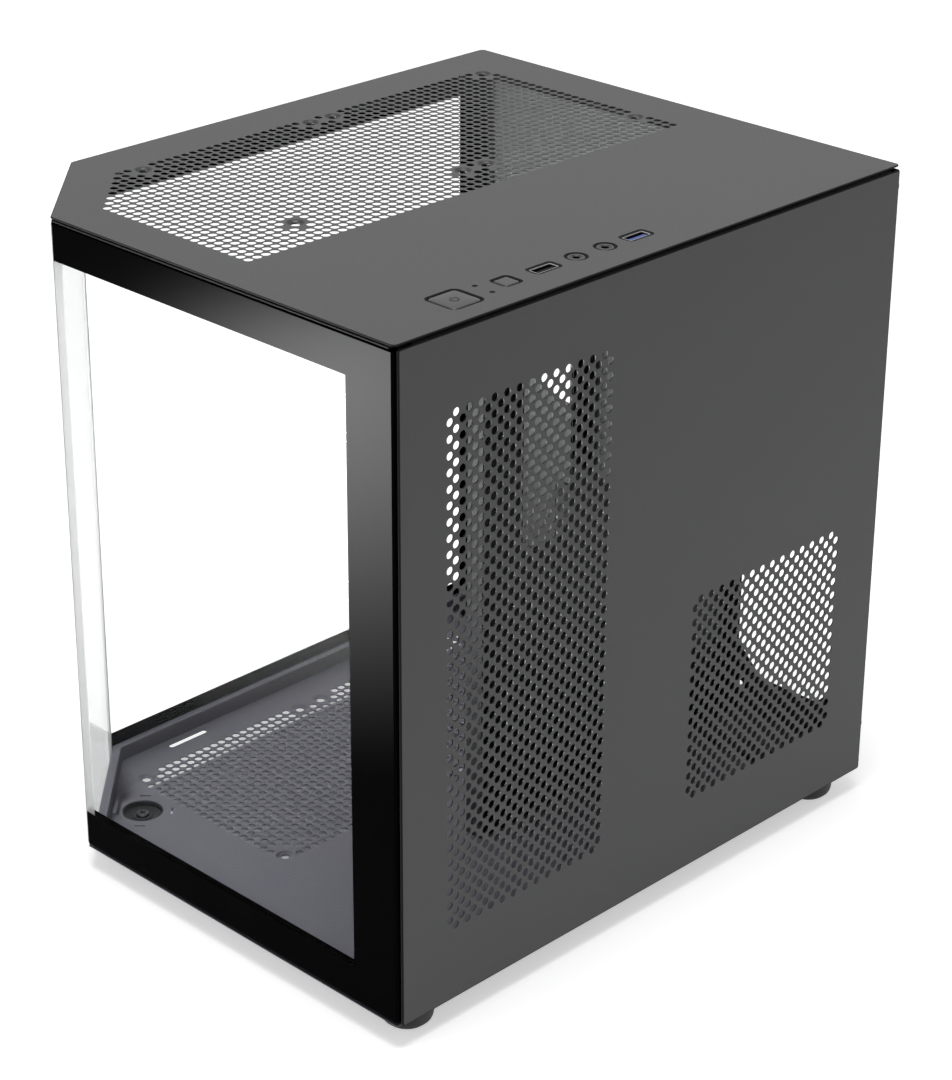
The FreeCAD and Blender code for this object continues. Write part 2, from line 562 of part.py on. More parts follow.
# Foam tape between the fixed panes and the steel behind them
item = body("glass_tape")
end = "tape_end"
start = "pane * tan(22.5) - " + end
back_start = RAIL_FACE + " * tan(22.5) - " + end
band = [("pane + " + end, "corner + " + start), front_end("pane"), (WALL_OUT, "pane"),
        (WALL_OUT, RAIL_FACE), front_end(RAIL_FACE),
        (RAIL_FACE + " + " + end, "corner + " + back_start)]
add(item, "XY", "tape_up", "tape_wide", [band])
add(item, "XY", RAIL_LOW + " + tape_up", "tape_wide", [band])
add(item, "XY", POST_LOW, POST_TOP + " - " + POST_LOW,
    [box("post_left + post_tape", "pane", "post_left + post_tape + tape_wide", RAIL_FACE)])
keep(item, "glass_tape")

# Studs bonded to the left pane, and the clips that hold them
item = body("left_glass_studs")
add(item, "YZ", "pane", "stud_foil", [disc(y, z, "stud_base") for y, z in STUDS])
add(item, "YZ", "pane + stud_foil", STUD_TIP + " - pane - stud_foil",
    [disc(y, z, "stud") for y, z in STUDS])
keep(item, "left_glass_studs")
item = body("glass_clips")
for y, z in STUDS:
    bore = disc(y, z, "clip_bore")
    add(item, "YZ", RAIL_FACE, STUD_TIP + " - " + RAIL_FACE, [disc(y, z, "clip_out"), bore])
    add(item, "YZ", RAIL_FACE + " - clip_head_tall", "clip_head_tall",
        [disc(y, z, "clip_head"), bore])
keep(item, "glass_clips")

# Side panel: skin with a hemmed front edge, hooked lips above and below, and
# a rear lip with two screw tabs
side = body("side_blank")
add(side, "YZ", "width - sheet", "sheet", [box("panel_start", "0", "depth", PANEL_TOP)])
add(side, "YZ", "width - 2 * sheet", "sheet",
    [box("panel_start", "sheet", "panel_start + hem", PANEL_TOP + " - sheet")])
for low, lip in (("0", "0"), (PANEL_TOP + " - hook_tall", PANEL_TOP + " - sheet")):
    add(side, "XY", lip, "sheet", [box(HOOK_IN, "hook_start", "width", "depth - hook_end")])
    add(side, "XY", low, "hook_tall", [box(HOOK_IN, "hook_start", HOOK_OUT, "depth - hook_end")])
add(side, "XZ", "depth - sheet", "sheet",
    [box("width - sheet - rear_lip", "0", "width", PANEL_TOP)])
for z in KNOBS:
    add(side, "XZ", "depth - sheet", "sheet",
        [box("width - tab_wide", z + " - tab_half", "width", z + " + tab_half")])
cut(side, "XZ", "depth - sheet", "sheet", [disc(KNOB_X, z, "knob_hole") for z in KNOBS])
holes = []
for columns, rows, y, z in ((TALL_COLUMNS, TALL_ROWS, "tall_y", "tall_z"),
                            (LOW_COLUMNS, LOW_ROWS, "low_y", "low_z")):
    for i in range(columns):
        for j in range(rows):
            if (i + j) % 2 == 0:
                holes.append((num("%s + %d * stagger_step" % (y, i)),
                              num("%s + %d * stagger_step" % (z, j))))
punch(side, "right_panel", "x", num("width - sheet"), holes, 0)
item = body("panel_thumbscrews")
add(item, "XZ", "depth", "knob_out", [disc(KNOB_X, z, "knob", ROUND) for z in KNOBS])
add(item, "XZ", "depth - knob_long", "knob_long", [disc(KNOB_X, z, "knob_shank") for z in KNOBS])
keep(item, "panel_thumbscrews")
item = body("panel_nuts")
wires = []
for z in KNOBS:
    wires += [hexagon(KNOB_X, z, "nut_flats"), disc(KNOB_X, z, "nut_bore")]
add(item, "XZ", REAR_IN + " - nut_tall", "nut_tall", wires)
keep(item, "panel_nuts")

# Drive bracket on the back of the partition, with its screw holes
item = body("drive_bracket")
face = "(tray_x + sheet + drive_gap)"
foot = "(tray_x + sheet + seat_gap)"
spots = [("(drive_front + drive_rear) / 2 %s drive_span_y / 2" % a,
          "(drive_low + drive_top) / 2 %s drive_span_z / 2" % b) for a in "-+" for b in "-+"]
add(item, "YZ", face, "sheet",
    [box("drive_front", "drive_low", "drive_rear", "drive_top")]
    + [disc(y, z, "drive_hole") for y, z in spots])
add(item, "XY", "drive_low", "drive_top - drive_low",
    [box(foot, "drive_front", face + " + sheet", "drive_front + sheet"),
     box(foot, "drive_rear - sheet", face + " + sheet", "drive_rear")])
add(item, "YZ", foot, "sheet",
    [box("drive_front - drive_foot", "drive_low", "drive_front + sheet", "drive_top"),
     box("drive_rear - sheet", "drive_low", "drive_rear + drive_foot", "drive_top")])
keep(item, "drive_bracket")
item = body("supply_pads")
wires = []
for y in ("supply_pad_front", "supply_pad_rear - supply_pad_wide"):
    wires.append(box("supply_pad_x", y, "supply_pad_x + supply_pad_long",
                     y + " + supply_pad_wide"))
add(item, "XY", "floor_up", "supply_pad", wires)
keep(item, "supply_pads")

# Housing of the controls, hung in the frame below the roof plate
item = body("io_housing")
fit = "+ 2 * cap_gap"
power = "(power_cap " + fit + ")"
reset = "(reset_cap " + fit + ")"
socket_u, socket_v = "socket_wide / 2 + part_gap", "socket_long / 2 + part_gap"
inner = [square("io_x", "power_y", power, "power_cut"),
         square("io_x", "reset_y", reset, "reset_cut")]
outer = [square("io_x", "power_y", "(" + power + " + 2 * collar)", "power_cut"),
         square("io_x", "reset_y", "(" + reset + " + 2 * collar)", "reset_cut")]
for y in ("socket_two_y", "socket_three_y"):
    inner.append(around("io_x", y, socket_u, socket_v))
    outer.append(around("io_x", y, "socket_wide / 2 + bezel", "socket_long / 2 + bezel"))
for y in ("jack_one_y", "jack_two_y"):
    inner.append(disc("io_x", y, "jack_out + part_gap", ROUND))
    outer.append(disc("io_x", y, "jack_out + part_gap + collar", ROUND))
lamps = [disc("io_x %s lamp_apart / 2" % s, "lamp_y", "lamp + part_gap") for s in ("-", "+")]
shell = around("io_x", "(io_start + io_end) / 2", "io_half", "(io_end - io_start) / 2")
hollow = around("io_x", "(io_start + io_end) / 2", "io_half - io_wall",
                "(io_end - io_start) / 2 - io_wall")
add(item, "XY", SLAB_LOW, "io_slab", [shell])
for wire in inner + lamps:
    cut(item, "XY", SLAB_LOW, "io_slab", [wire])
add(item, "XY", "io_board_low", SLAB_LOW + " - io_board_low", [shell, hollow])
for hole, collar in zip(inner, outer):
    add(item, "XY", SLAB_TOP, FLUSH_TOP + " - " + SLAB_TOP, [collar, hole])
add(item, "XY", RING_LOW + " - seat_gap - io_ear_tall", "io_ear_tall",
    [box("io_x - io_ear_half", "io_start - io_ear", "io_x + io_ear_half", "io_start"),
     box("io_x - io_ear_half", "io_end", "io_x + io_ear_half", "io_end + io_ear")])
keep(item, "io_housing")
item = body("io_board")
add(item, "XY", "io_board_low", "board",
    [around("io_x", "(io_start + io_end) / 2", "io_half - io_wall - part_gap",
            "(io_end - io_start) / 2 - io_wall - part_gap")])
keep(item, "io_board")

# Sockets on the small board: metal shell with a tongue inside
for label, y in (("usb2", "socket_two_y"), ("usb3", "socket_three_y")):
    item = body(label + "_port")
    add(item, "XY", IO_BOARD_TOP, FLUSH_TOP + " - " + IO_BOARD_TOP,
        [around("io_x", y, "socket_wide / 2", "socket_long / 2"),
         around("io_x", y, "socket_wide / 2 - socket_wall", "socket_long / 2 - socket_wall")])
    keep(item, label + "_port")
    item = body(label + "_tongue")
    add(item, "XY", IO_BOARD_TOP, FLUSH_TOP + " - tongue_down - " + IO_BOARD_TOP,
        [around("io_x + tongue_side", y, "tongue_thick / 2", "tongue_long / 2")])
    keep(item, label + "_tongue")
for label, y in (("headphone_jack", "jack_one_y"), ("microphone_jack", "jack_two_y")):
    item = body(label)
    add(item, "XY", IO_BOARD_TOP, "jack_floor", [disc("io_x", y, "jack_out", ROUND)])
    add(item, "XY", IO_BOARD_TOP + " + jack_floor", FLUSH_TOP + " - jack_floor - " + IO_BOARD_TOP,
        [disc("io_x", y, "jack_out", ROUND), ("io_x", y, "jack_bore")])
    keep(item, label)
item = body("light_pipes")
add(item, "XY", IO_BOARD_TOP, FLUSH_TOP + " - " + IO_BOARD_TOP,
    [disc("io_x %s lamp_apart / 2" % s, "lamp_y", "lamp") for s in ("-", "+")])
keep(item, "light_pipes")

# Push buttons with a catch below the housing, and the switches below them
item = body("button_switches")
add(item, "XY", IO_BOARD_TOP, "switch_tall",
    [around("io_x", y, "switch / 2", "switch / 2") for y in ("power_y", "reset_y")])
add(item, "XY", IO_BOARD_TOP + " + switch_tall", "plunger_tall",
    [disc("io_x", y, "plunger") for y in ("power_y", "reset_y")])
keep(item, "button_switches")
for label in ("power", "reset"):
    item = body(label + "_button")
    place = label + "_y"
    low = SLAB_LOW + " - slide_gap - catch_tall"
    stem = IO_BOARD_TOP + " + switch_tall + plunger_tall + %s_travel + seat_gap" % label
    add(item, "XY", low, "height - (" + low + ")",
        [square("io_x", place, label + "_cap", label + "_cut")])
    add(item, "XY", low, "catch_tall",
        [square("io_x", place, "(%s_cap + 2 * catch)" % label, label + "_cut")])
    add(item, "XY", stem, low + " - (" + stem + ")", [disc("io_x", place, label + "_stem")])
    keep(item, label + "_button")

# Feet: wide disc below the tray, a shaft up to the well, and a soft pad
for corner_name, x, y in FEET:
    item = body("foot_" + corner_name)
    add(item, "XY", "pad_seat - foot_drop", "foot_drop - pad_seat - seat_gap",
        [disc(x, y, "foot_wide", ROUND)])
    add(item, "XY", "-seat_gap", WELL_LOW + " + seat_gap", [disc(x, y, "foot_shaft", ROUND)])
    cut(item, "XY", "pad_seat - foot_drop", "pad_thick - pad_seat",
        [disc(x, y, "foot_wide - pad_in + pad_gap", ROUND)])
    cut(item, "XY", WELL_LOW + " - foot_screw_long", "foot_screw_long",
        [disc(x, y, "foot_screw + foot_screw_gap")])
    keep(item, "foot_" + corner_name)
item = body("foot_pads")
for side, x, y in FEET:
    add(item, "XY", "-foot_drop", "pad_thick", [disc(x, y, "foot_wide - pad_in", ROUND)])
keep(item, "foot_pads")
item = body("foot_screws")
add(item, "XY", WELL_LOW + " + sheet", "foot_head_tall",
    [disc(x, y, "foot_head") for s, x, y in FEET])
add(item, "XY", WELL_LOW + " - foot_screw_long + seat_gap", "foot_screw_long + sheet - seat_gap",
    [disc(x, y, "foot_screw") for s, x, y in FEET])
keep(item, "foot_screws")

doc.recompute()

for item in doc.Objects:
    if "Invalid" in item.State or "Error" in item.State:
        raise RuntimeError("failed: " + item.Label)
for pocket in cuts:
    if pocket.Shape.Volume >= pocket.BaseFeature.Shape.Volume:
        raise RuntimeError("cuts nothing: " + pocket.getParentGeoFeatureGroup().Label)
for item in parts:
    if item.Shape.isNull() or not item.Shape.isValid():
        raise RuntimeError("bad shape: " + item.Label)

os.makedirs("parts", exist_ok=True)
for item in parts:
    item.Shape.exportStep("parts/%s.step" % item.Label)
    print(item.Label, len(item.Shape.Solids), round(item.Shape.Volume))
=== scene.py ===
import json
import math

import bmesh
import bpy
from mathutils import Matrix, Vector
from mathutils.geometry import delaunay_2d_cdt


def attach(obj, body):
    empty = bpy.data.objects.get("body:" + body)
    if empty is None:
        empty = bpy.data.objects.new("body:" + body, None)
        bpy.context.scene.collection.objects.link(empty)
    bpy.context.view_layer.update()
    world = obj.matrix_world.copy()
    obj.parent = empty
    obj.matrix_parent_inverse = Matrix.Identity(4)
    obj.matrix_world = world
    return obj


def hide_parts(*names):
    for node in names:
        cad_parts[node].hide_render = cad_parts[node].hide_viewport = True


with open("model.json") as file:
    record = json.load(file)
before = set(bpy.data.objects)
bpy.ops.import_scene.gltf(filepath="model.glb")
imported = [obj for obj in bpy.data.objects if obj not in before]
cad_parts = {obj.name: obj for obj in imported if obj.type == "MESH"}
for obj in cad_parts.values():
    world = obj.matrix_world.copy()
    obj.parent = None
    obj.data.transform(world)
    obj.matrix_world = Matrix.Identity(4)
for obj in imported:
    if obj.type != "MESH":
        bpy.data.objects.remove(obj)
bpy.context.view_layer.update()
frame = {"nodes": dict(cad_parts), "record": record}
nodes = frame["nodes"]
scene = bpy.context.scene

# Sizes, in mm
WIDE, DEEP, TALL, CORNER = 275.0, 330.0, 325.0, 55.5
REAR_OUT, FOOT_TALL = 9.5, 12.0
ORIGIN = Vector((WIDE / 2, (DEEP + REAR_OUT) / 2, -FOOT_TALL))
SHEET = 0.6
HOLE, HOLE_COUNT, FLOOR_HOLE_COUNT = 2.0, 14, 12
# Shift of a mitred corner along the side, for each mm inward
MITRE = math.tan(math.radians(22.5))

# Mesh settings: angles in degrees, a distance in metres, an area in square metres
FLAT_ANGLE, HARD_ANGLE = 12, 35
MERGE = 1e-7
NARROW_FACE, STEEP = 0.002, 0.3
# A pane's ground edges look light as far as this place, in mm from the left
EDGE_SPAN = 60.0


def at(x, y, z):
    """Point of the case's corner frame, in millimetres, as a point of the row frame."""
    return (Vector((x, y, z)) - ORIGIN) / 1000


# Materials
class Shader:
    """Principled material with helpers for its node tree."""

    def __init__(self, name, color, rough, **sockets):
        self.mat = bpy.data.materials.new(name)
        self.mat.use_nodes = True
        self.tree = self.mat.node_tree
        self.out = self.tree.nodes["Material Output"]
        self.main = self.tree.nodes["Principled BSDF"]
        self.main.inputs["Base Color"].default_value = (*color, 1)
        self.main.inputs["Roughness"].default_value = rough
        for socket, value in sockets.items():
            self.main.inputs[socket.replace("_", " ")].default_value = value
        self.place = self.node("TexCoord").outputs["Object"]

    def node(self, kind, **props):
        made = self.tree.nodes.new("ShaderNode" + kind)
        for key, value in props.items():
            setattr(made, key, value)
        return made

    def link(self, a, b):
        self.tree.links.new(a, b)

    def noise(self, scale, detail, place=None):
        made = self.node("TexNoise")
        made.inputs["Scale"].default_value = scale
        made.inputs["Detail"].default_value = detail
        self.link(place or self.place, made.inputs["Vector"])
        return made.outputs["Fac"]

    def math(self, how, a, b=None, c=None):
        made = self.node("Math", operation=how)
        for socket, value in zip(made.inputs, (a, b, c)):
            if value is None:
                continue
            if isinstance(value, (int, float)):
                socket.default_value = value
            else:
                self.link(value, socket)
        return made.outputs[0]

    def bump(self, height, strength, distance):
        made = self.node("Bump")
        made.inputs["Strength"].default_value = strength
        made.inputs["Distance"].default_value = distance
        self.link(height, made.inputs["Height"])
        self.link(made.outputs["Normal"], self.main.inputs["Normal"])

    def uneven(self, value, spread, rough):
        """Roughness that goes up and down about its middle with a value from 0 to 1."""
        mixed = self.math("MULTIPLY_ADD", value, spread, rough - spread / 2)
        self.link(mixed, self.main.inputs["Roughness"])

    def tone(self, value, color):
        """Base colour times a value."""
        scaled = self.node("VectorMath", operation="SCALE")
        scaled.inputs[0].default_value = color
        self.link(value, scaled.inputs["Scale"])
        self.link(scaled.outputs["Vector"], self.main.inputs["Base Color"])


# Noise scales, in cycles for each metre, and bump depths, in metres
MOTTLE, CLOUD, DRAWN, GRAIN, SAND, THREADS = 9.0, 60.0, 900.0, 1500.0, 2300.0, 9000.0
SAND_DEEP, MOULD_DEEP, DRAWN_DEEP, WEAVE_DEEP = 0.00012, 0.00006, 0.00005, 0.0001


def powder(name, color, rough=0.5, gloss=0.5):
    """Fine sand powder coat: slight mottle, tiny grains in the bump."""
    s = Shader(name, color, rough, Specular_IOR_Level=gloss)
    grain = s.noise(GRAIN, 2.0)
    patch = s.math("MULTIPLY_ADD", s.noise(MOTTLE, 4.0), 0.10, 0.95)
    speck = s.math("MULTIPLY_ADD", grain, 0.30, 0.85)
    s.tone(s.math("MULTIPLY", patch, speck), color)
    s.uneven(grain, 0.16, rough)
    s.bump(s.noise(SAND, 2.0), 0.35, SAND_DEEP)
    return s.mat


def plastic(name, color, rough, grain=2600.0, strength=0.12, gloss=0.5):
    """Moulded plastic with a fine eroded surface."""
    s = Shader(name, color, rough, Specular_IOR_Level=gloss)
    s.bump(s.noise(grain, 2.0), strength, MOULD_DEEP)
    s.uneven(s.noise(CLOUD, 2.0), 0.12, rough)
    return s.mat


def metal(name, color, rough):
    """Plated steel with a faint drawn grain."""
    s = Shader(name, color, rough, Metallic=1.0)
    stretch = s.node("Mapping")
    stretch.inputs["Scale"].default_value = (1.0, 1.0, 0.08)
    s.link(s.place, stretch.inputs["Vector"])
    drawn = s.noise(DRAWN, 2.0, place=stretch.outputs["Vector"])
    s.uneven(drawn, 0.2, rough)
    s.bump(drawn, 0.05, DRAWN_DEEP)
    return s.mat


def woven(name, color):
    """Fine woven net: two crossed waves in the tone and the bump."""
    s = Shader(name, color, 0.6, Specular_IOR_Level=0.3)
    split = s.node("SeparateXYZ")
    s.link(s.place, split.inputs[0])
    waves = [s.math("SINE", s.math("MULTIPLY", split.outputs[k], THREADS)) for k in (0, 1)]
    weave = s.math("MULTIPLY_ADD", s.math("MULTIPLY", *waves), 0.5, 0.5)
    s.tone(s.math("MULTIPLY_ADD", weave, 0.5, 0.75), color)
    s.bump(weave, 0.3, WEAVE_DEEP)
    return s.mat


# Panes: the glass bends light only a little, so that it looks as clear as in the photo
GLASS_TINT = (0.985, 0.99, 0.99)
GLASS_SHADOW = (0.88, 0.90, 0.90)
CORNER_TINT = (0.78, 0.783, 0.783)
GLASS_BEND, GLASS_ROUGH = 1.05, 0.003
INK = (0.0012, 0.0012, 0.0014)
INK_ROUGH, INK_GLOSS = 0.12, 0.005
# Clear fields between the printed borders, in mm
CLEAR_LOW, SIDE_LOW, CLEAR_HIGH = 20.3, 18.0, 304.5
CLEAR_NEAR, FRONT_END, SIDE_END, STRIP_END = CORNER - 3, 246.5, 313.0, CORNER + 4


def inside_band(s, axis, low, high):
    """1 where the object coordinate lies between two places, in millimetres."""
    number = "xyz".index(axis)
    split = s.node("SeparateXYZ")
    s.link(s.place, split.inputs[0])
    value = s.math("MULTIPLY_ADD", split.outputs[number], 1000.0, ORIGIN[number])
    above = s.math("GREATER_THAN", value, low)
    below = s.math("LESS_THAN", value, high)
    return s.math("MULTIPLY", above, below)


def pane(name, *fields, tint=GLASS_TINT):
    """Clear pane with a printed black border: clear only inside the fields of bands."""
    s = Shader(name, tint, GLASS_ROUGH, IOR=GLASS_BEND, Transmission_Weight=1.0)
    shadow = s.node("BsdfTransparent")
    shadow.inputs["Color"].default_value = (*GLASS_SHADOW, 1)
    path = s.node("LightPath")
    clear = s.node("MixShader")
    s.link(path.outputs["Is Shadow Ray"], clear.inputs[0])
    s.link(s.main.outputs[0], clear.inputs[1])
    s.link(shadow.outputs[0], clear.inputs[2])
    ink = s.node("BsdfPrincipled")
    ink.inputs["Base Color"].default_value = (*INK, 1)
    ink.inputs["Roughness"].default_value = INK_ROUGH
    ink.inputs["Specular IOR Level"].default_value = INK_GLOSS
    mask = 0.0
    for field in fields:
        inside = 1.0
        for band in field:
            inside = s.math("MULTIPLY", inside_band(s, *band), inside)
        mask = s.math("MAXIMUM", inside, mask)
    both = s.node("MixShader")
    s.link(mask, both.inputs[0])
    s.link(ink.outputs[0], both.inputs[1])
    s.link(clear.outputs[0], both.inputs[2])
    s.link(both.outputs[0], s.out.inputs["Surface"])
    return s.mat


STEEL = powder("powder_coat_outside", (0.036, 0.0362, 0.0372))
# Darker copy of the outside powder coat for the parts inside the case: painted shade on the same
# paint.
STEEL_SHADED = powder("powder_coat_painted_shade", (0.020, 0.0205, 0.023), rough=0.45, gloss=0.15)
# Darker, duller copy of the outside powder coat for the sheet edges and the top frame: painted shade
# along the edges.
STEEL_EDGE_SHADED = powder("powder_coat_edge_painted_shade", (0.022, 0.0221, 0.0228), rough=0.6, gloss=0.03)
# Lighter, bluish copy of the same powder coat for the floor tray and its rail: painted light, for
# the light that falls on the floor through the roof vent.
STEEL_FLOOR_LIT = powder("powder_coat_floor_painted_light", (0.107, 0.105, 0.126), rough=0.4, gloss=0.2)
BLACK = plastic("black_plastic", (0.010, 0.010, 0.011), 0.42)
# Near-black, dull plastic: the own black of the collars and the small socket's tongue, darkened past
# the housing's black as painted shade in the gaps round the controls.
BLACK_AND_GAP_SHADE = plastic("black_plastic_and_gap_shade", (0.003, 0.003, 0.003), 0.6, gloss=0.08)
CAP = plastic("button_plastic", (0.034, 0.034, 0.036), 0.42)
MARK = plastic("mark_print", (0.004, 0.004, 0.004), 0.5, gloss=0.1)
BLUE = plastic("blue_plastic", (0.012, 0.045, 0.26), 0.45)
RUBBER = plastic("black_rubber", (0.014, 0.014, 0.014), 0.6, grain=1800.0, strength=0.3)
FOAM = plastic("black_foam", (0.010, 0.010, 0.010), 0.9, grain=1200.0, strength=0.6)
SCREW = metal("black_screw", (0.06, 0.06, 0.062), 0.35)
ZINC = metal("zinc_steel", (0.62, 0.63, 0.64), 0.3)
SHELL = metal("plated_shell", (0.34, 0.34, 0.345), 0.3)
GOLD = metal("contact_plating", (0.80, 0.60, 0.28), 0.25)
BRASS = metal("brass_post", (0.72, 0.55, 0.26), 0.3)
BOARD = plastic("circuit_board", (0.01, 0.03, 0.015), 0.4)
LIGHT = Shader("light_pipe", (0.002, 0.002, 0.002), 0.4, Specular_IOR_Level=0.05).mat
GROUND = plastic("ground_glass_edge", (0.70, 0.705, 0.705), 0.4, gloss=0.04)
# The net's tone is lifted far above a dark net's own: painted light on the net, which lies in shade
# under the floor.
NET_PAINTED_LIGHT = woven("filter_net_painted_light", (0.50, 0.49, 0.56))
FRONT_PANE = pane("front_pane", [("x", CLEAR_NEAR, FRONT_END), ("z", CLEAR_LOW, CLEAR_HIGH)])
SIDE_PANE = pane("side_pane", [("y", CLEAR_NEAR, SIDE_END), ("z", SIDE_LOW, CLEAR_HIGH)],
                 [("y", CLEAR_NEAR, STRIP_END), ("z", 0.0, CLEAR_HIGH)])
CORNER_PANE = pane("corner_pane", [("z", 0.0, CLEAR_HIGH)], tint=CORNER_TINT)

# Looks of the CAD nodes by material slot, and of single nodes that differ from it
LOOKS = {
    "powder_coat": STEEL_SHADED, "black_screw": SCREW, "zinc_steel": ZINC, "brass_post": BRASS,
    "foam": FOAM, "black_plastic": BLACK, "blue_plastic": BLUE, "clear_plastic": LIGHT,
    "circuit_board": BOARD, "plated_shell": SHELL, "black_rubber": RUBBER,
}
OWN = {
    "front_glass": FRONT_PANE, "left_glass": SIDE_PANE, "corner_glass": CORNER_PANE,
    "power_button": CAP, "reset_button": CAP, "top_frame": STEEL_EDGE_SHADED, "rear_panel": STEEL,
}
slot_of = {row["node"]: row["material_slot"] for row in frame["record"]["subparts"]}
for name, obj in nodes.items():
    look = OWN.get(name) or LOOKS[slot_of[name]]
    obj.data.materials.clear()
    obj.data.materials.append(look)


# Mesh building
class Solid:
    """Collects points, in millimetres, and faces of one piece."""

    def __init__(self):
        self.points = []
        self.faces = []

    def loop(self, ring):
        start = len(self.points)
        self.points += ring
        return list(range(start, start + len(ring)))

    def band(self, low, high):
        """Quads between two loops of the same length."""
        total = len(low)
        for k in range(total):
            after = (k + 1) % total
            self.faces.append((low[k], low[after], high[after], high[k]))

    def prism(self, ring, low, high, place):
        a = self.loop([place(u, v, low) for u, v in ring])
        b = self.loop([place(u, v, high) for u, v in ring])
        self.faces += [tuple(a[::-1]), tuple(b)]
        self.band(a, b)

    def plate(self, outer, holes, level, place):
        """Flat face with holes; returns the point of each corner, outer ones first."""
        flat_points = [Vector(p) for p in outer]
        owner = [None] * len(outer)
        links = [(k, (k + 1) % len(outer)) for k in range(len(outer))]
        for number, ring in enumerate(holes):
            start = len(flat_points)
            flat_points += [Vector(p) for p in ring]
            owner += [number] * len(ring)
            links += [(start + k, start + (k + 1) % len(ring)) for k in range(len(ring))]
        result = delaunay_2d_cdt(flat_points, links, [], 1, 1e-5)
        spots, faces, origin = result[0], result[2], result[3]
        whose = [owner[olds[0]] if olds else None for olds in origin]
        first = len(self.points)
        self.points += [place(p[0], p[1], level) for p in spots]
        for face in faces:
            names = {whose[k] for k in face}
            if len(names) > 1 or None in names:
                self.faces.append(tuple(first + k for k in face))
        index = {}
        for new, olds in enumerate(origin):
            for old in olds:
                index[old] = first + new
        return index

    def sheet(self, top, bottom, holes, low, high, place, under=None):
        """Flat sheet between two outer loops, with holes through it.

        Under gives the outlines of the holes in the lower face, where they differ.
        Returns the outer loops of the upper and the lower face."""
        upper = self.plate(top, holes, high, place)
        lower = self.plate(bottom, under or holes, low, place)
        skip_top, skip_bottom = len(top), len(bottom)
        for ring in holes:
            a = [lower[skip_bottom + k] for k in range(len(ring))]
            b = [upper[skip_top + k] for k in range(len(ring))]
            self.band(a, b)
            skip_top += len(ring)
            skip_bottom += len(ring)
        return [upper[k] for k in range(len(top))], [lower[k] for k in range(len(bottom))]

    def open_stack(self, rows, place):
        """Outlines of the same count joined one to the next, from rows of (outline, height).

        Returns the first and the last loop, which stay open."""
        rings = [self.loop([place(a, b, w) for a, b in ring]) for ring, w in rows]
        for a, b in zip(rings, rings[1:]):
            self.band(a, b)
        return rings[0], rings[-1]

    def stack(self, rows, place, bored=False):
        """As open_stack, with end faces, or joined last to first where it is bored."""
        first, last = self.open_stack(rows, place)
        if bored:
            self.band(last, first)
        else:
            self.faces += [tuple(first[::-1]), tuple(last)]

    def turned(self, u, v, profile, count, place, bored=False):
        """Turned form about one axis: rows of (radius, height)."""
        self.stack([(circle(u, v, r, count), w) for r, w in profile], place, bored)

    def recessed(self, outline, recess, top, floor, place):
        """Flat face inside an outline, with a recess down to its own floor."""
        spots = self.plate(outline, [recess], top, place)
        rim = [spots[len(outline) + k] for k in range(len(recess))]
        bottom = self.loop([place(a, b, floor) for a, b in recess])
        self.band(rim, bottom)
        self.faces.append(tuple(bottom))

    def screw_head(self, u, v, radius, base, top, place, shaft):
        """Round head with a cross recess; shaft is (radius, height of its end)."""
        tall = top - base
        shape = ((1.0, 0.0), (1.0, 0.45), (0.93, 0.75), (0.8, 0.93), (0.66, 1.0))
        stem = circle(u, v, shaft[0], HEAD_COUNT)
        rows = [(stem, shaft[1]), (stem, base)]
        rows += [(circle(u, v, radius * k, HEAD_COUNT), base + tall * h) for k, h in shape]
        first = self.open_stack(rows, place)[0]
        self.faces.append(tuple(first[::-1]))
        recess = cross(u, v, radius * 0.5, radius * 0.11)
        self.recessed(rows[-1][0], recess, top, top - 0.55 * tall, place)

    def make(self, name, look, body, replaces=(), bevel=0.0, smooth=30, edge_look=None):
        """Mesh and object of the piece, riding its body."""
        mesh = bpy.data.meshes.new(name)
        mesh.from_pydata([at(*p) for p in self.points], [], self.faces)
        bm = bmesh.new()
        bm.from_mesh(mesh)
        bmesh.ops.remove_doubles(bm, verts=bm.verts, dist=MERGE)
        bmesh.ops.recalc_face_normals(bm, faces=bm.faces)
        if bevel:
            hard = [e for e in bm.edges if len(e.link_faces) == 2
                    and e.calc_face_angle() > math.radians(HARD_ANGLE)]
            bmesh.ops.bevel(bm, geom=hard, offset=bevel / 1000, segments=2, profile=0.5,
                            affect="EDGES", clamp_overlap=True)
        if edge_look:
            for face in bm.faces:
                narrow = face.calc_area() < NARROW_FACE and abs(face.normal.z) < STEEP
                left = face.calc_center_median().x * 1000 + WIDE / 2 < EDGE_SPAN
                face.material_index = 1 if narrow and left else 0
        bm.to_mesh(mesh)
        bm.free()
        mesh.materials.append(look)
        if edge_look:
            mesh.materials.append(edge_look)
        mesh.shade_smooth()
        mesh.set_sharp_from_angle(angle=math.radians(smooth))
        obj = bpy.data.objects.new(name, mesh)
        scene.collection.objects.link(obj)
        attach(obj, body)
        if replaces:
            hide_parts(*replaces)


def flat(u, v, w):
    """Sheet lying level: u along x, v along y, w up."""
    return (u, v, w)


def upright(u, v, w):
    """Sheet square to x: u along y, v up, w along x."""
    return (w, u, v)


def backward(u, v, w):
    """Sheet square to y: u along x, v up, w along y."""
    return (u, w, v)


def circle(u, v, radius, count):
    return [(u + radius * math.cos(2 * math.pi * k / count),
             v + radius * math.sin(2 * math.pi * k / count)) for k in range(count)]


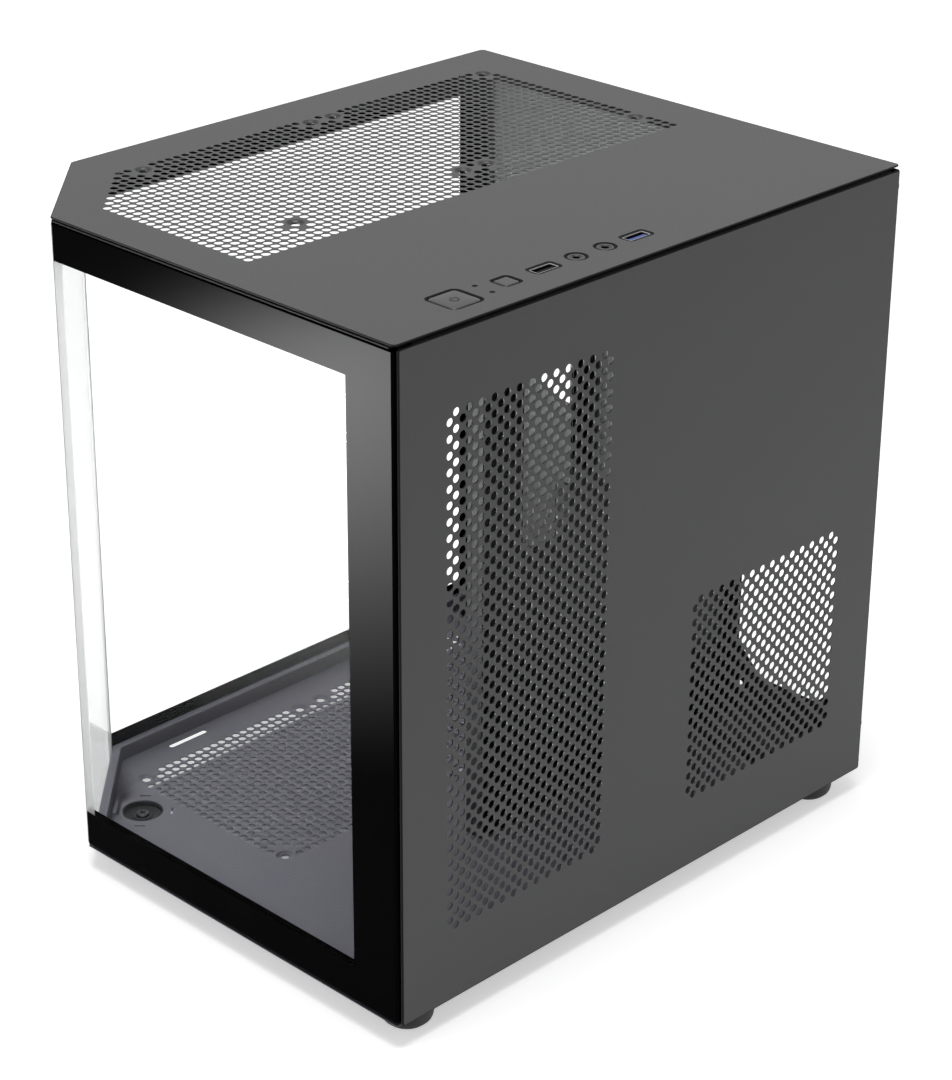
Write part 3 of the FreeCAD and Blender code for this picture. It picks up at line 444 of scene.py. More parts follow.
def rounded(points, radius, steps):
    """Convex outline with its corners rounded, the same count of points for any radius."""
    ring = []
    total = len(points)
    for k in range(total):
        here = Vector(points[k])
        back = (Vector(points[k - 1]) - here).normalized()
        ahead = (Vector(points[(k + 1) % total]) - here).normalized()
        half = back.angle(ahead) / 2
        reach = radius / math.tan(half)
        centre = here + (back + ahead).normalized() * (radius / math.sin(half))
        start = here + back * reach - centre
        end = here + ahead * reach - centre
        sweep = start.angle_signed(end)
        for step in range(steps + 1):
            turn = -sweep * step / steps
            c, s = math.cos(turn), math.sin(turn)
            ring.append((centre.x + c * start.x - s * start.y, centre.y + s * start.x + c * start.y))
    return ring


def box(u0, v0, u1, v1):
    return [(u0, v0), (u1, v0), (u1, v1), (u0, v1)]


def about(u, v, half_u, half_v):
    return box(u - half_u, v - half_v, u + half_u, v + half_v)


def cross(u, v, arm, half):
    """Outline of a cross recess."""
    return [(u + a, v + b) for a, b in (
        (half, half), (half, arm), (-half, arm), (-half, half), (-arm, half), (-arm, -half),
        (-half, -half), (-half, -arm), (half, -arm), (half, -half), (arm, -half), (arm, half))]


def softened(u, v, half_u, half_v, radius, inset=0.0):
    """Rounded rectangle about a centre, drawn in by an inset."""
    return rounded(about(u, v, half_u - inset, half_v - inset), max(radius - inset, 0.15), 5)


def plan(inset):
    """Outline of the case from above, drawn in by an inset."""
    cut = CORNER + inset * MITRE
    return [(inset, DEEP - inset), (inset, cut), (cut, inset), (WIDE - inset, inset),
            (WIDE - inset, DEEP - inset)]


# Sheets with round holes and dished screw seats
FAN, GRID, SEAT_CLEAR = 105.0, 5, 7.2
DISH, DISH_DEEP, DISH_HOLE = 4.7, 0.9, 2.2
HEAD_COUNT = 32


def fan_screws(x, places):
    """Screw places of fans in a row, at one x and several y."""
    return [(x + a * FAN / 2, y + b * FAN / 2) for y in places for a in (-1, 1) for b in (-1, 1)]


def grid_places(start_u, start_v, columns, rows, screws):
    """Crossings of a square grid, save those too near a screw seat."""
    places = [(start_u + GRID * i, start_v + GRID * j)
              for i in range(columns) for j in range(rows)]
    return [(u, v) for u, v in places
            if all(math.hypot(u - a, v - b) > SEAT_CLEAR for a, b in screws)]


def dished(solid, u, v, top):
    """Dished screw seat pressed down from a sheet; its outer rings join the sheet."""
    profile = [(DISH, top), (DISH - 0.5, top - 0.12), (DISH_HOLE + 1.0, top - DISH_DEEP),
               (DISH_HOLE, top - DISH_DEEP), (DISH_HOLE, top - DISH_DEEP - SHEET),
               (DISH_HOLE + 1.3, top - DISH_DEEP - SHEET), (DISH, top - 0.4)]
    solid.open_stack([(circle(u, v, r, HEAD_COUNT), z) for r, z in profile], flat)


def pierced(solid, outer, inner, holes, seats, low, high, place, under=None):
    """Sheet with holes and with open places for dished seats."""
    below = under + seats if under else None
    upper, lower = solid.sheet(outer, inner, holes + seats, low, high, place, below)
    walls = sum(len(ring) for ring in seats)
    del solid.faces[-walls:]
    return upper, lower


# Places of the controls and sockets in the roof
IO_X = 254.7
POWER_Y, RESET_Y, LAMP_Y, LAMP_OFF = 54.3, 85.1, 71.5, 5.1
USB_TWO_Y, USB_THREE_Y = 108.0, 166.8
JACKS = (("headphone_jack", 128.2), ("microphone_jack", 146.6))
POWER_HALF, POWER_ROUND, RESET_HALF, RESET_ROUND = 8.4, 2.3, 4.3, 1.2
SOCKET_U, SOCKET_V, SOCKET_ROUND = 2.85, 6.55, 0.7
CAP_GAP, COLLAR_WALL, BEZEL, PLATE_GAP, SLIP = 0.4, 1.0, 1.6, 0.1, 0.05
JACK_OUT, JACK_BORE, JACK_COUNT = 4.1, 1.8, 40
JACK_SEAT = JACK_OUT + 0.2
PIPE, PIPE_COUNT = 1.2, 20
BUTTON_RING = CAP_GAP + COLLAR_WALL
# Place along y, half sizes and corner radius of each control
CONTROL_FORMS = {
    "power": (POWER_Y, POWER_HALF, POWER_HALF, POWER_ROUND),
    "reset": (RESET_Y, RESET_HALF, RESET_HALF, RESET_ROUND),
    "usb2": (USB_TWO_Y, SOCKET_U, SOCKET_V, SOCKET_ROUND),
    "usb3": (USB_THREE_Y, SOCKET_U, SOCKET_V, SOCKET_ROUND),
}


def control_outline(kind, grow):
    """Outline of a control seen from above, grown by a distance all round."""
    y, half_u, half_v, radius = CONTROL_FORMS[kind]
    return softened(IO_X, y, half_u, half_v, radius, -grow)


def control_holes(button_gap, socket_gap, jack_radius, pipe_radius):
    """Outlines round all the controls, with a gap for each kind."""
    holes = [control_outline(kind, button_gap) for kind in ("power", "reset")]
    holes += [control_outline(kind, socket_gap) for kind in ("usb2", "usb3")]
    holes += [circle(IO_X, y, jack_radius, JACK_COUNT) for name, y in JACKS]
    holes += [circle(IO_X + side * LAMP_OFF, LAMP_Y, pipe_radius, PIPE_COUNT) for side in (-1, 1)]
    return holes


# Roof plate
ROOF_TOP, ROOF_SKIN, ROOF_RIM = TALL - 0.02, 0.4, 8.0
ROOF_HOLE, ROOF_FLARE, CORNER_CUT = 2.12, 2.38, 88.5
ROOF_SCREWS = fan_screws(85.2, (124.6, 244.6))


def roof_edge(inset):
    return rounded(plan(inset), max(2.6 - inset, 0.4), 5)


def roof_plate():
    """Vented sheet; its holes flare a little downward."""
    grid = grid_places(29.1, 25.6, columns=27, rows=56, screws=ROOF_SCREWS)
    places = [(u, v) for u, v in grid if u + v > CORNER_CUT]
    controls = control_holes(BUTTON_RING + PLATE_GAP, BEZEL + PLATE_GAP,
                             JACK_SEAT + COLLAR_WALL + PLATE_GAP, PIPE + PLATE_GAP)
    holes = [circle(u, v, ROOF_HOLE, HOLE_COUNT) for u, v in places] + controls
    under = [circle(u, v, ROOF_FLARE, HOLE_COUNT) for u, v in places] + controls
    seats = [circle(u, v, DISH, HEAD_COUNT) for u, v in ROOF_SCREWS]
    solid = Solid()
    pierced(solid, roof_edge(0.4), roof_edge(ROOF_RIM), holes, seats, ROOF_TOP - ROOF_SKIN, ROOF_TOP,
            flat, under)
    solid.make("roof_plate", STEEL, "chassis", ["top_plate"], smooth=FLAT_ANGLE)


def roof_plate_edge():
    """Soft edge of the roof sheet and the hem below it."""
    solid = Solid()
    rows = [(0.4, 0.0), (0.12, 0.1), (0.0, 0.3), (0.0, 0.6), (0.12, 0.8), (0.4, 0.9), (2.0, 0.9),
            (2.0, 1.4), (ROOF_RIM, 1.4), (ROOF_RIM, ROOF_SKIN)]
    solid.open_stack([(roof_edge(inset), ROOF_TOP - drop) for inset, drop in rows], flat)
    solid.make("roof_plate_edge", STEEL_EDGE_SHADED, "chassis")


def roof_screw_seats():
    solid = Solid()
    for u, v in ROOF_SCREWS:
        dished(solid, u, v, ROOF_TOP)
    # The seats are pressed from the steel roof sheet; their black is painted shade in the dishes.
    solid.make("roof_screw_seats", BLACK, "chassis")


roof_plate()
roof_plate_edge()
roof_screw_seats()

# Controls and sockets in the roof
SLAB_LOW, SLAB_TOP, FLUSH, RING_TOP = 322.4, 324.2, 324.9, 324.8
BOARD_TOP, IO_LOW = 310.0, 308.4
IO_FRONT, IO_REAR, IO_HALF, IO_WALL, IO_ROUND = 43.0, 177.5, 11.0, 1.2, 2.0
EAR, EAR_LOW, EAR_TOP = 6.0, 321.5, 322.5
CATCH, CATCH_TALL, CATCH_GAP, SWITCH_TALL, STEM = 1.3, 1.2, 0.1, 2.6, 0.3


def io_housing():
    """Housing under the roof plate: a tray upside down, with a bore for each control."""
    solid = Solid()
    middle, half = (IO_FRONT + IO_REAR) / 2, (IO_REAR - IO_FRONT) / 2
    outer = softened(IO_X, middle, IO_HALF, half, IO_ROUND)
    inner = softened(IO_X, middle, IO_HALF, half, IO_ROUND, IO_WALL)
    bores = control_holes(CAP_GAP, SLIP, JACK_SEAT, PIPE + SLIP)
    upper, lower = solid.sheet(outer, inner, bores, SLAB_LOW, SLAB_TOP, flat)
    foot_out = solid.loop([flat(u, v, IO_LOW) for u, v in outer])
    foot_in = solid.loop([flat(u, v, IO_LOW) for u, v in inner])
    solid.band(upper, foot_out)
    solid.band(foot_out, foot_in)
    solid.band(foot_in, lower)
    for y0, y1 in ((IO_FRONT - EAR, IO_FRONT), (IO_REAR, IO_REAR + EAR)):
        solid.prism(box(IO_X - EAR, y0, IO_X + EAR, y1), EAR_LOW, EAR_TOP, flat)
    solid.make("io_housing_box", BLACK, "chassis", ["io_housing"])


def control_collars():
    """Collars on the housing, one round each button and socket."""
    solid = Solid()
    for kind, near, far in (("power", CAP_GAP, BUTTON_RING), ("reset", CAP_GAP, BUTTON_RING),
                            ("usb2", SLIP, BEZEL), ("usb3", SLIP, BEZEL)):
        rows = [(control_outline(kind, d), z) for d, z in (
            (near, SLAB_LOW), (near, RING_TOP - 0.2), (near + 0.15, RING_TOP),
            (far - 0.15, RING_TOP), (far, RING_TOP - 0.15), (far, SLAB_TOP))]
        solid.stack(rows, flat, bored=True)
    near, far = JACK_SEAT, JACK_SEAT + COLLAR_WALL
    profile = [(near, SLAB_LOW), (near, RING_TOP - 0.3), (near + 0.2, RING_TOP),
               (far - 0.2, RING_TOP), (far, RING_TOP - 0.2), (far, SLAB_TOP)]
    for name, y in JACKS:
        solid.turned(IO_X, y, profile, JACK_COUNT, flat, bored=True)
    solid.make("control_collars", BLACK_AND_GAP_SHADE, "chassis")


def button(kind, half, travel_gap):
    """Cap with a soft top edge, a catch below the housing and a stem."""
    solid = Solid()
    catch_top = SLAB_LOW - CATCH_GAP
    rows = [(control_outline(kind, 0.0), catch_top)]
    for inset, drop in ((0.0, 0.75), (0.12, 0.4), (0.4, 0.16), (0.9, 0.06), (half - 2.0, 0.12)):
        rows.append((control_outline(kind, -inset), TALL - drop))
    solid.stack(rows, flat)
    solid.prism(control_outline(kind, CATCH), catch_top - CATCH_TALL, catch_top, flat)
    stem_low = BOARD_TOP + SWITCH_TALL + travel_gap
    solid.turned(IO_X, CONTROL_FORMS[kind][0], [(half * STEM, stem_low), (half * STEM, catch_top)],
                 24, flat)
    name = kind + "_button"
    solid.make(name + "_cap", CAP, name + "_body", [name])


def power_mark():
    """Ring with a gap and a stroke, the plain sign for standby."""
    solid = Solid()
    low, high, near, far = TALL - 0.2, TALL - 0.03, 1.75, 2.15
    start, count = math.radians(35), 28
    sweep = 2 * math.pi - 2 * start
    arc = []
    for radius, steps in ((near, range(count + 1)), (far, range(count, -1, -1))):
        for k in steps:
            turn = start + sweep * k / count
            arc.append((IO_X - radius * math.cos(turn), POWER_Y + radius * math.sin(turn)))
    solid.prism(arc, low, high, flat)
    solid.prism(box(IO_X - 2.5, POWER_Y - 0.2, IO_X - 0.6, POWER_Y + 0.2), low, high, flat)
    solid.make("power_button_mark", MARK, "power_button_body")


def usb_socket(kind, y, tongue_look):
    """Folded metal shell with a tongue that carries four contacts."""
    shell = Solid()
    rows = [(control_outline(kind, -d), z) for d, z in (
        (0.0, BOARD_TOP), (0.0, FLUSH - 0.2), (0.08, FLUSH - 0.1), (0.22, FLUSH - 0.1),
        (0.3, FLUSH - 0.25), (0.3, BOARD_TOP))]
    shell.stack(rows, flat, bored=True)
    shell.make(kind + "_shell", SHELL, "chassis", [kind + "_port"])
    # Dark sleeve just inside the metal shell, where the real socket has only the shell: painted
    # shade inside the socket.
    shade_liner = Solid()
    rows = [(control_outline(kind, -d), z) for d, z in (
        (0.3, BOARD_TOP), (0.3, FLUSH - 0.5), (0.4, FLUSH - 0.6), (0.4, BOARD_TOP))]
    shade_liner.stack(rows, flat, bored=True)
    shade_liner.make(kind + "_shell_painted_shade", BLACK_AND_GAP_SHADE, "chassis")
    tongue = Solid()
    rows = [(softened(IO_X + 0.75, y, 1.25, 5.6, 0.25, d), z) for d, z in (
        (0.0, BOARD_TOP), (0.0, 323.9), (0.18, 324.2))]
    tongue.stack(rows, flat)
    tongue.make(kind + "_tongue_body", tongue_look, "chassis", [kind + "_tongue"])
    pads = Solid()
    for step in (-3.5, -1.0, 1.0, 3.5):
        pads.prism(box(IO_X - 0.55, y + step - 0.5, IO_X - 0.48, y + step + 0.5),
                   BOARD_TOP + 2, 323.4, flat)
    pads.make(kind + "_contacts", GOLD, "chassis", bevel=0.02)


def jack(name, y):
    """Round socket: dark body, a ring and a bore."""
    body = Solid()
    body.turned(IO_X, y, [(JACK_BORE, BOARD_TOP + 1), (JACK_BORE, FLUSH - 0.9), (2.5, FLUSH - 0.9),
                          (2.5, FLUSH - 0.3), (2.7, FLUSH - 0.1), (JACK_OUT - 0.3, FLUSH - 0.1),
                          (JACK_OUT, FLUSH - 0.4), (JACK_OUT, BOARD_TOP), (0.4, BOARD_TOP),
                          (0.4, BOARD_TOP + 1)], JACK_COUNT, flat, bored=True)
    body.make(name + "_body", BLACK, "chassis", [name])
    ring = Solid()
    ring.turned(IO_X, y, [(JACK_BORE, FLUSH - 1.2), (JACK_BORE, FLUSH - 0.45), (1.95, FLUSH - 0.3),
                          (2.3, FLUSH - 0.3), (2.48, FLUSH - 0.45), (2.48, FLUSH - 1.2)],
                JACK_COUNT, flat, bored=True)
    ring.make(name + "_ring", CAP, "chassis")


def light_pipes():
    solid = Solid()
    for side in (-1, 1):
        solid.turned(IO_X + side * LAMP_OFF, LAMP_Y,
                     [(PIPE, BOARD_TOP), (PIPE, FLUSH - 0.35), (0.95, FLUSH - 0.15),
                      (0.6, FLUSH - 0.03), (0.2, FLUSH)], PIPE_COUNT, flat)
    solid.make("lamp_pipes", LIGHT, "chassis", ["light_pipes"])


io_housing()
control_collars()
button("power", POWER_HALF, travel_gap=0.9)
button("reset", RESET_HALF, travel_gap=0.7)
power_mark()
usb_socket("usb2", USB_TWO_Y, BLACK_AND_GAP_SHADE)
usb_socket("usb3", USB_THREE_Y, BLUE)
for name, y in JACKS:
    jack(name, y)
light_pipes()

# Glass panes; the ends of each are mitred, from an outer to an inner place
PANE, PANE_LOW, PANE_HIGH, EDGE = 4.0, 2.0, 322.0, 0.35
PANE_RIGHT, PANE_REAR = 273.5, 328.6
END_OUT, END_IN = 55.8, 57.46
CORNER_OUT, CORNER_IN = (0.21, 55.29), (4.21, 56.94)


def glass(name, outline, look, body):
    """Flat pane with ground edges."""
    solid = Solid()
    solid.prism(outline, PANE_LOW, PANE_HIGH, flat)
    solid.make(name + "_pane", look, body, [name], bevel=EDGE, smooth=10,
               edge_look=GROUND)


glass("front_glass", [(END_OUT, 0), (PANE_RIGHT, 0), (PANE_RIGHT, PANE), (END_IN, PANE)],
      FRONT_PANE, "chassis")
glass("corner_glass", [CORNER_OUT, CORNER_OUT[::-1], CORNER_IN[::-1], CORNER_IN], CORNER_PANE,
      "chassis")
glass("left_glass", [(0, END_OUT), (PANE, END_IN), (PANE, PANE_REAR), (0, PANE_REAR)], SIDE_PANE,
      "left_glass_panel")

# Side panel
PANEL_TOP, PANEL_FRONT = TALL - 2.7, 2.6
VENT_PITCH = 3.75
LIP_IN, LIP_FRONT, LIP_END, HOOK = 272.0, 12.0, DEEP - 6, 3.4
REAR_LIP, TAB_IN, TAB_HALF = 268.4, 262.0, 8
THUMB_X, THUMB_HEIGHTS = 266.5, (22.5, 312.0)


def panel_edge(inset):
    return rounded(box(PANEL_FRONT + inset, inset, DEEP - inset, PANEL_TOP - inset), 0.9, 3)


def staggered(columns, rows, parity, shift_u, shift_v):
    """Round holes on every other crossing of a grid."""
    return [circle(shift_u + VENT_PITCH * i, shift_v + VENT_PITCH * j, HOLE, HOLE_COUNT)
            for i in columns for j in rows if (i + j) % 2 == parity]


def side_panel():
    """Skin with a tall vent in front and a low one behind."""
    holes = staggered(range(9, 36), range(10, 77), parity=0, shift_u=-2.053, shift_v=1.309)
    holes += staggered(range(51, 80), range(11, 40), parity=1, shift_u=2.055, shift_v=-2.0015)
    solid = Solid()
    solid.sheet(panel_edge(0.6), panel_edge(0.0), holes, WIDE - SHEET, WIDE, upright)
    solid.make("side_panel_skin", STEEL, "side_panel", ["right_panel"],
               smooth=FLAT_ANGLE)


def side_panel_edge():
    solid = Solid()
    rows = ((0.6, 0.0), (0.3, 0.06), (0.1, 0.2), (0.0, 0.45), (0.0, SHEET))
    solid.open_stack([(panel_edge(inset), WIDE - drop) for inset, drop in rows], upright)
    solid.make("side_panel_edge", STEEL_EDGE_SHADED, "side_panel")


def side_panel_lips():
    """Lips folded inward along the four sides, hooks on two, and tabs for the thumbscrews."""
    solid = Solid()
    inner = WIDE - SHEET
    solid.prism(box(2.65, SHEET, 10.6, PANEL_TOP - SHEET), inner - SHEET, inner, upright)
    for low, hook in ((0.0, 0.0), (PANEL_TOP - SHEET, PANEL_TOP - HOOK)):
        solid.prism(box(LIP_IN, LIP_FRONT, inner, LIP_END), low, low + SHEET, flat)
        solid.prism(box(LIP_IN, LIP_FRONT, LIP_IN + SHEET, LIP_END), hook, hook + HOOK, flat)
    solid.prism(box(REAR_LIP, 0, inner, PANEL_TOP), DEEP - SHEET, DEEP, backward)
    for z in THUMB_HEIGHTS:
        tab = rounded(box(TAB_IN, z - TAB_HALF, REAR_LIP, z + TAB_HALF), 2.0, 3)
        solid.prism(tab, DEEP - SHEET, DEEP, backward)
    solid.make("side_panel_lips", STEEL, "side_panel", bevel=0.12)


side_panel()
side_panel_edge()
side_panel_lips()

# Floor tray
FLOOR_SCREWS = fan_screws(84.6, (109.6, 229.6))
FEET = [(55.9, 35.0), (258.5, 21.0), (20.6, 309.0), (258.5, 309.0)]
FLOOR_LOW, FLOOR_TOP, FLOOR_IN = 5.4, 6.0, 9.0
SIDE_OUT, REAR_SEAT = 273.5, 328.3
WELL, WELL_COUNT, SLOT_OUT = 10.3, 48, 14.6
FILTER, FILTER_THICK = 4.0, 0.4
FLANGE_IN, FLANGE_LOW, FLANGE_TOP, FLANGE_END = 272.9, 0.9, 14.0, 183.8
# Rail section in (inset, height): up beside the floor, out to the panes, down and out to the lip
RAIL = [(9.6, 6.0), (9.6, 13.2), (9.4, 13.8), (8.8, 14.0), (5.9, 14.0), (5.3, 13.8), (5.0, 13.2),
        (5.0, 1.2), (4.8, 0.75), (4.3, 0.6), (0.4, 0.6), (0.4, 0.0), (5.0, 0.0), (5.45, 0.2),
        (5.6, 0.6), (5.6, 12.9), (6.1, 13.4), (8.6, 13.4), (9.0, 13.0), (9.0, 5.4), (9.6, 5.4)]


def foot_slots(u, v):
    """Four short slots round a foot, each square to a diagonal."""
    slots = []
    for number in range(4):
        turn = math.radians(45 + 90 * number)
        c, s = math.cos(turn), math.sin(turn)
        x, y = u + SLOT_OUT * c, v + SLOT_OUT * s
        slots.append([(x + a * -s - b * c, y + a * c - b * s) for a, b in about(0, 0, 2.7, 0.5)])
    return slots


def floor_sheet():
    """Vented floor with two slots, dished screw seats and open places for the foot wells."""
    places = grid_places(30.3, 53.8, columns=23, rows=50, screws=FLOOR_SCREWS)
    holes = [circle(u, v, HOLE, FLOOR_HOLE_COUNT) for u, v in places]
    holes += foot_slots(*FEET[0])
    holes.append(rounded(box(13.9, 86.4, 17.1, 110.9), 1.0, 3))
    holes.append([(37.5, 36.0), (35.8, 34.3), (47.1, 23.1), (48.8, 24.8)])
    wells = [circle(u, v, WELL, WELL_COUNT) for u, v in FEET]
    seats = [circle(u, v, DISH, HEAD_COUNT) for u, v in FLOOR_SCREWS]
    cut = CORNER + FLOOR_IN * MITRE
    outline = [(FLOOR_IN, REAR_SEAT), (FLOOR_IN, cut), (cut, FLOOR_IN), (SIDE_OUT, FLOOR_IN),
               (SIDE_OUT, REAR_SEAT)]
    solid = Solid()
    upper, lower = pierced(solid, outline, outline, holes, wells + seats, FLOOR_LOW, FLOOR_TOP, flat)
    solid.band(lower, upper)
    for u, v in FLOOR_SCREWS:
        dished(solid, u, v, FLOOR_TOP)
    solid.make("floor_sheet", STEEL_FLOOR_LIT, "chassis", ["bottom_tray"],
               smooth=FLAT_ANGLE)


def foot_wells():
    """Round wells pressed into the floor above the feet, each with a screw hole."""
    solid = Solid()
    profile = [(WELL, 0.0), (9.9, 0.15), (9.6, 0.6), (9.5, 2.6), (5.2, 2.6), (4.9, 2.2),
               (2.05, 2.2), (2.05, 3.2), (10.1, 3.2), (WELL, FLOOR_TOP - FLOOR_LOW)]
    for u, v in FEET:
        solid.open_stack([(circle(u, v, r, WELL_COUNT), FLOOR_TOP - drop) for r, drop in profile],
                         flat)
    # The wells take the darker copy of the coat, not the floor's: painted shade in the wells.
    solid.make("floor_foot_wells", STEEL_SHADED, "chassis")


def dust_filter():
    solid = Solid()
    outline = rounded(box(38.0, 47.5, 146.0, 305.0), 3.0, 5)
    solid.stack([(outline, FILTER - FILTER_THICK), (outline, FILTER)], flat)
    solid.make("floor_dust_filter", NET_PAINTED_LIGHT, "chassis")


def folded(solid, section, right, rear):
    """Section of (inset, height) swept along the left side, the corner and the front."""
    rows = [[(d, rear, z), (d, CORNER + d * MITRE, z), (CORNER + d * MITRE, d, z), (right, d, z)]
            for d, z in section]
    for a in range(len(rows)):
        b = (a + 1) % len(rows)
        first, second = solid.loop(rows[a]), solid.loop(rows[b])
        for k in range(3):
            solid.faces.append((first[k], first[k + 1], second[k + 1], second[k]))
    for end in (0, 3):
        solid.faces.append(tuple(solid.loop([row[end] for row in rows])))


def floor_rail():
    """Folded rail behind the three panes."""
    solid = Solid()
    folded(solid, RAIL, SIDE_OUT, REAR_SEAT)
    solid.make("floor_rail", STEEL_FLOOR_LIT, "chassis", smooth=50)


def floor_flanges():
    """Flange down at the right side and flange up at the rear."""
    solid = Solid()
    solid.prism(box(FLANGE_IN, LIP_FRONT, SIDE_OUT, REAR_SEAT), FLANGE_LOW, FLOOR_LOW, flat)
    solid.prism(box(9.6, REAR_SEAT - SHEET, FLANGE_END, REAR_SEAT), FLOOR_TOP, FLANGE_TOP, flat)
    solid.make("floor_flanges", STEEL_SHADED, "chassis", bevel=0.1)


floor_sheet()
foot_wells()
dust_filter()
floor_rail()
floor_flanges()

# Feet and fasteners
FOOT_NAMES = ("front_left", "front_right", "rear_left", "rear_right")
FOOT_COUNT, PAD_TOP = 64, -11.2
SLOT_SCREWS, SLOT_SCREW_Y, SLOT_SCREW_Z, SLOT_PITCH = 4, 334.3, 25.35, 20.3
GROOVES, KNURL = 36, 0.28
THUMB_LOW, THUMB_BASE, THUMB_TOP, THUMB_FLOOR = 324.4, 330.0, 336.0, 334.6


def foot(name, u, v):
    """Round rubber foot with soft edges and a shaft up to the well."""
    solid = Solid()
    profile = [(9.6, PAD_TOP), (10.6, -10.7), (11.5, -9.8), (12.1, -8.4), (12.4, -6.6),
               (12.4, -1.2), (12.25, -0.6), (11.9, -0.25), (11.4, -0.2), (9.0, -0.2), (9.0, 2.7),
               (2.1, 2.7), (2.1, -6.6), (0.5, -6.6), (0.5, PAD_TOP)]
    solid.turned(u, v, profile, FOOT_COUNT, flat, bored=True)
    solid.make("foot_" + name + "_rubber", RUBBER, "chassis", ["foot_" + name])


def foot_pads():
    solid = Solid()
    profile = [(9.0, -FOOT_TALL), (9.4, -11.8), (9.5, -11.5), (9.5, PAD_TOP)]
    for u, v in FEET:
        solid.turned(u, v, profile, FOOT_COUNT, flat)
    solid.make("foot_soft_pads", FOAM, "chassis", ["foot_pads"])


def foot_screws():
    solid = Solid()
    for u, v in FEET:
        solid.screw_head(u, v, radius=3.4, base=3.4, top=5.2, place=flat, shaft=(1.9, -6.4))
    solid.make("foot_screw_heads", SCREW, "chassis", ["foot_screws"])


def slot_screws():
    """Screws that hold the card slot covers, with their heads to the left."""
    solid = Solid()
    for k in range(SLOT_SCREWS):
        solid.screw_head(SLOT_SCREW_Y, SLOT_SCREW_Z + SLOT_PITCH * k, radius=3.0, base=61.0,
                         top=59.0, place=upright, shaft=(1.5, 65.8))
    solid.make("slot_screw_heads", SCREW, "chassis", ["slot_screws"])


def knurled(u, v, radius, depth, count):
    """Outline with a fine knurl: ridges and grooves in turn."""
    ring = []
    for k in range(2 * count):
        turn = math.pi * k / count
        r = radius - depth * (k % 2)
        ring.append((u + r * math.cos(turn), v + r * math.sin(turn)))
    return ring


def thumbscrew(solid, u, v):
    """Knurled head on a collar, with a cross recess in its face."""
    rows = [(knurled(u, v, r, depth, GROOVES), y) for r, depth, y in (
        (1.45, 0.0, THUMB_LOW), (1.45, 0.0, THUMB_BASE), (3.3, 0.0, THUMB_BASE), (3.3, 0.0, 331.0),
        (4.3, 0.0, 331.0), (4.5, KNURL, 331.3), (4.5, KNURL, 335.5), (4.25, 0.0, 335.85),
        (3.6, 0.0, THUMB_TOP))]
    first = solid.open_stack(rows, backward)[0]
    solid.faces.append(tuple(first))
    solid.recessed(rows[-1][0], cross(u, v, 2.1, 0.45), THUMB_TOP, THUMB_FLOOR, backward)


def thumbscrews():
    solid = Solid()
    for z in THUMB_HEIGHTS:
        thumbscrew(solid, THUMB_X, z)
    solid.make("thumbscrew_heads", SCREW, "side_panel", ["panel_thumbscrews"])


for name, (u, v) in zip(FOOT_NAMES, FEET):
    foot(name, u, v)
foot_pads()
foot_screws()
slot_screws()
thumbscrews()

# Stage and world; the floor and the sky look brighter to the camera than they light the case
FLOOR_SIZE, FLOOR_LIFT, AMBIENT = 8.0, 0.5, 0.32


def seen_directly(tree):
    """1 for what the camera sees, also by way of gloss and glass."""
    path = tree.nodes.new("ShaderNodeLightPath")
    seen = path.outputs["Is Camera Ray"]
    for name in ("Is Glossy Ray", "Is Transmission Ray"):
        join = tree.nodes.new("ShaderNodeMath")
        join.operation = "MAXIMUM"
        tree.links.new(seen, join.inputs[0])
        tree.links.new(path.outputs[name], join.inputs[1])
        seen = join.outputs[0]
    return seen


def stage_floor():
    look = Shader("stage_floor", (0.92, 0.92, 0.92), 0.9, Specular_IOR_Level=0.1)
    look.main.inputs["Emission Color"].default_value = (1, 1, 1, 1)
    lift = look.math("MULTIPLY", seen_directly(look.tree), FLOOR_LIFT)
    look.link(lift, look.main.inputs["Emission Strength"])
    bm = bmesh.new()
    bmesh.ops.create_grid(bm, x_segments=1, y_segments=1, size=FLOOR_SIZE)
    mesh = bpy.data.meshes.new("stage_floor")
    bm.to_mesh(mesh)
    bm.free()
    mesh.materials.append(look.mat)
    floor = bpy.data.objects.new("stage_floor", mesh)
    scene.collection.objects.link(floor)


def studio_world():
    world = bpy.data.worlds.new("studio")
    scene.world = world
    world.use_nodes = True
    tree = world.node_tree
    back = tree.nodes["Background"]
    level = tree.nodes.new("ShaderNodeMath")
    level.operation = "MULTIPLY_ADD"
    level.inputs[1].default_value = 1.0 - AMBIENT
    level.inputs[2].default_value = AMBIENT
    tree.links.new(seen_directly(tree), level.inputs[0])
    tree.links.new(level.outputs[0], back.inputs["Strength"])
    back.inputs["Color"].default_value = (1, 1, 1, 1)


# Lamps; the card's sizes are in metres, and its place is in mm of the case
CARD_LEVEL = 175
CARD_LONG, CARD_WIDE, CARD_SHIFT = 0.80, 0.40, 0.20
CARD_PLACE, CARD_ALONG = (-337, -561, -8), (0.73, 0.68, 0)
CARD_PEAKS = (0.25, 0.5)


def lamp(name, place, aim, wide, tall, power):
    data = bpy.data.lights.new(name, "AREA")
    data.shape = "RECTANGLE"
    data.size, data.size_y, data.energy = wide, tall, power
    obj = bpy.data.objects.new(name, data)
    scene.collection.objects.link(obj)
    obj.location = place
    obj.rotation_euler = (Vector(aim) - Vector(place)).to_track_quat("-Z", "Y").to_euler()
    return obj


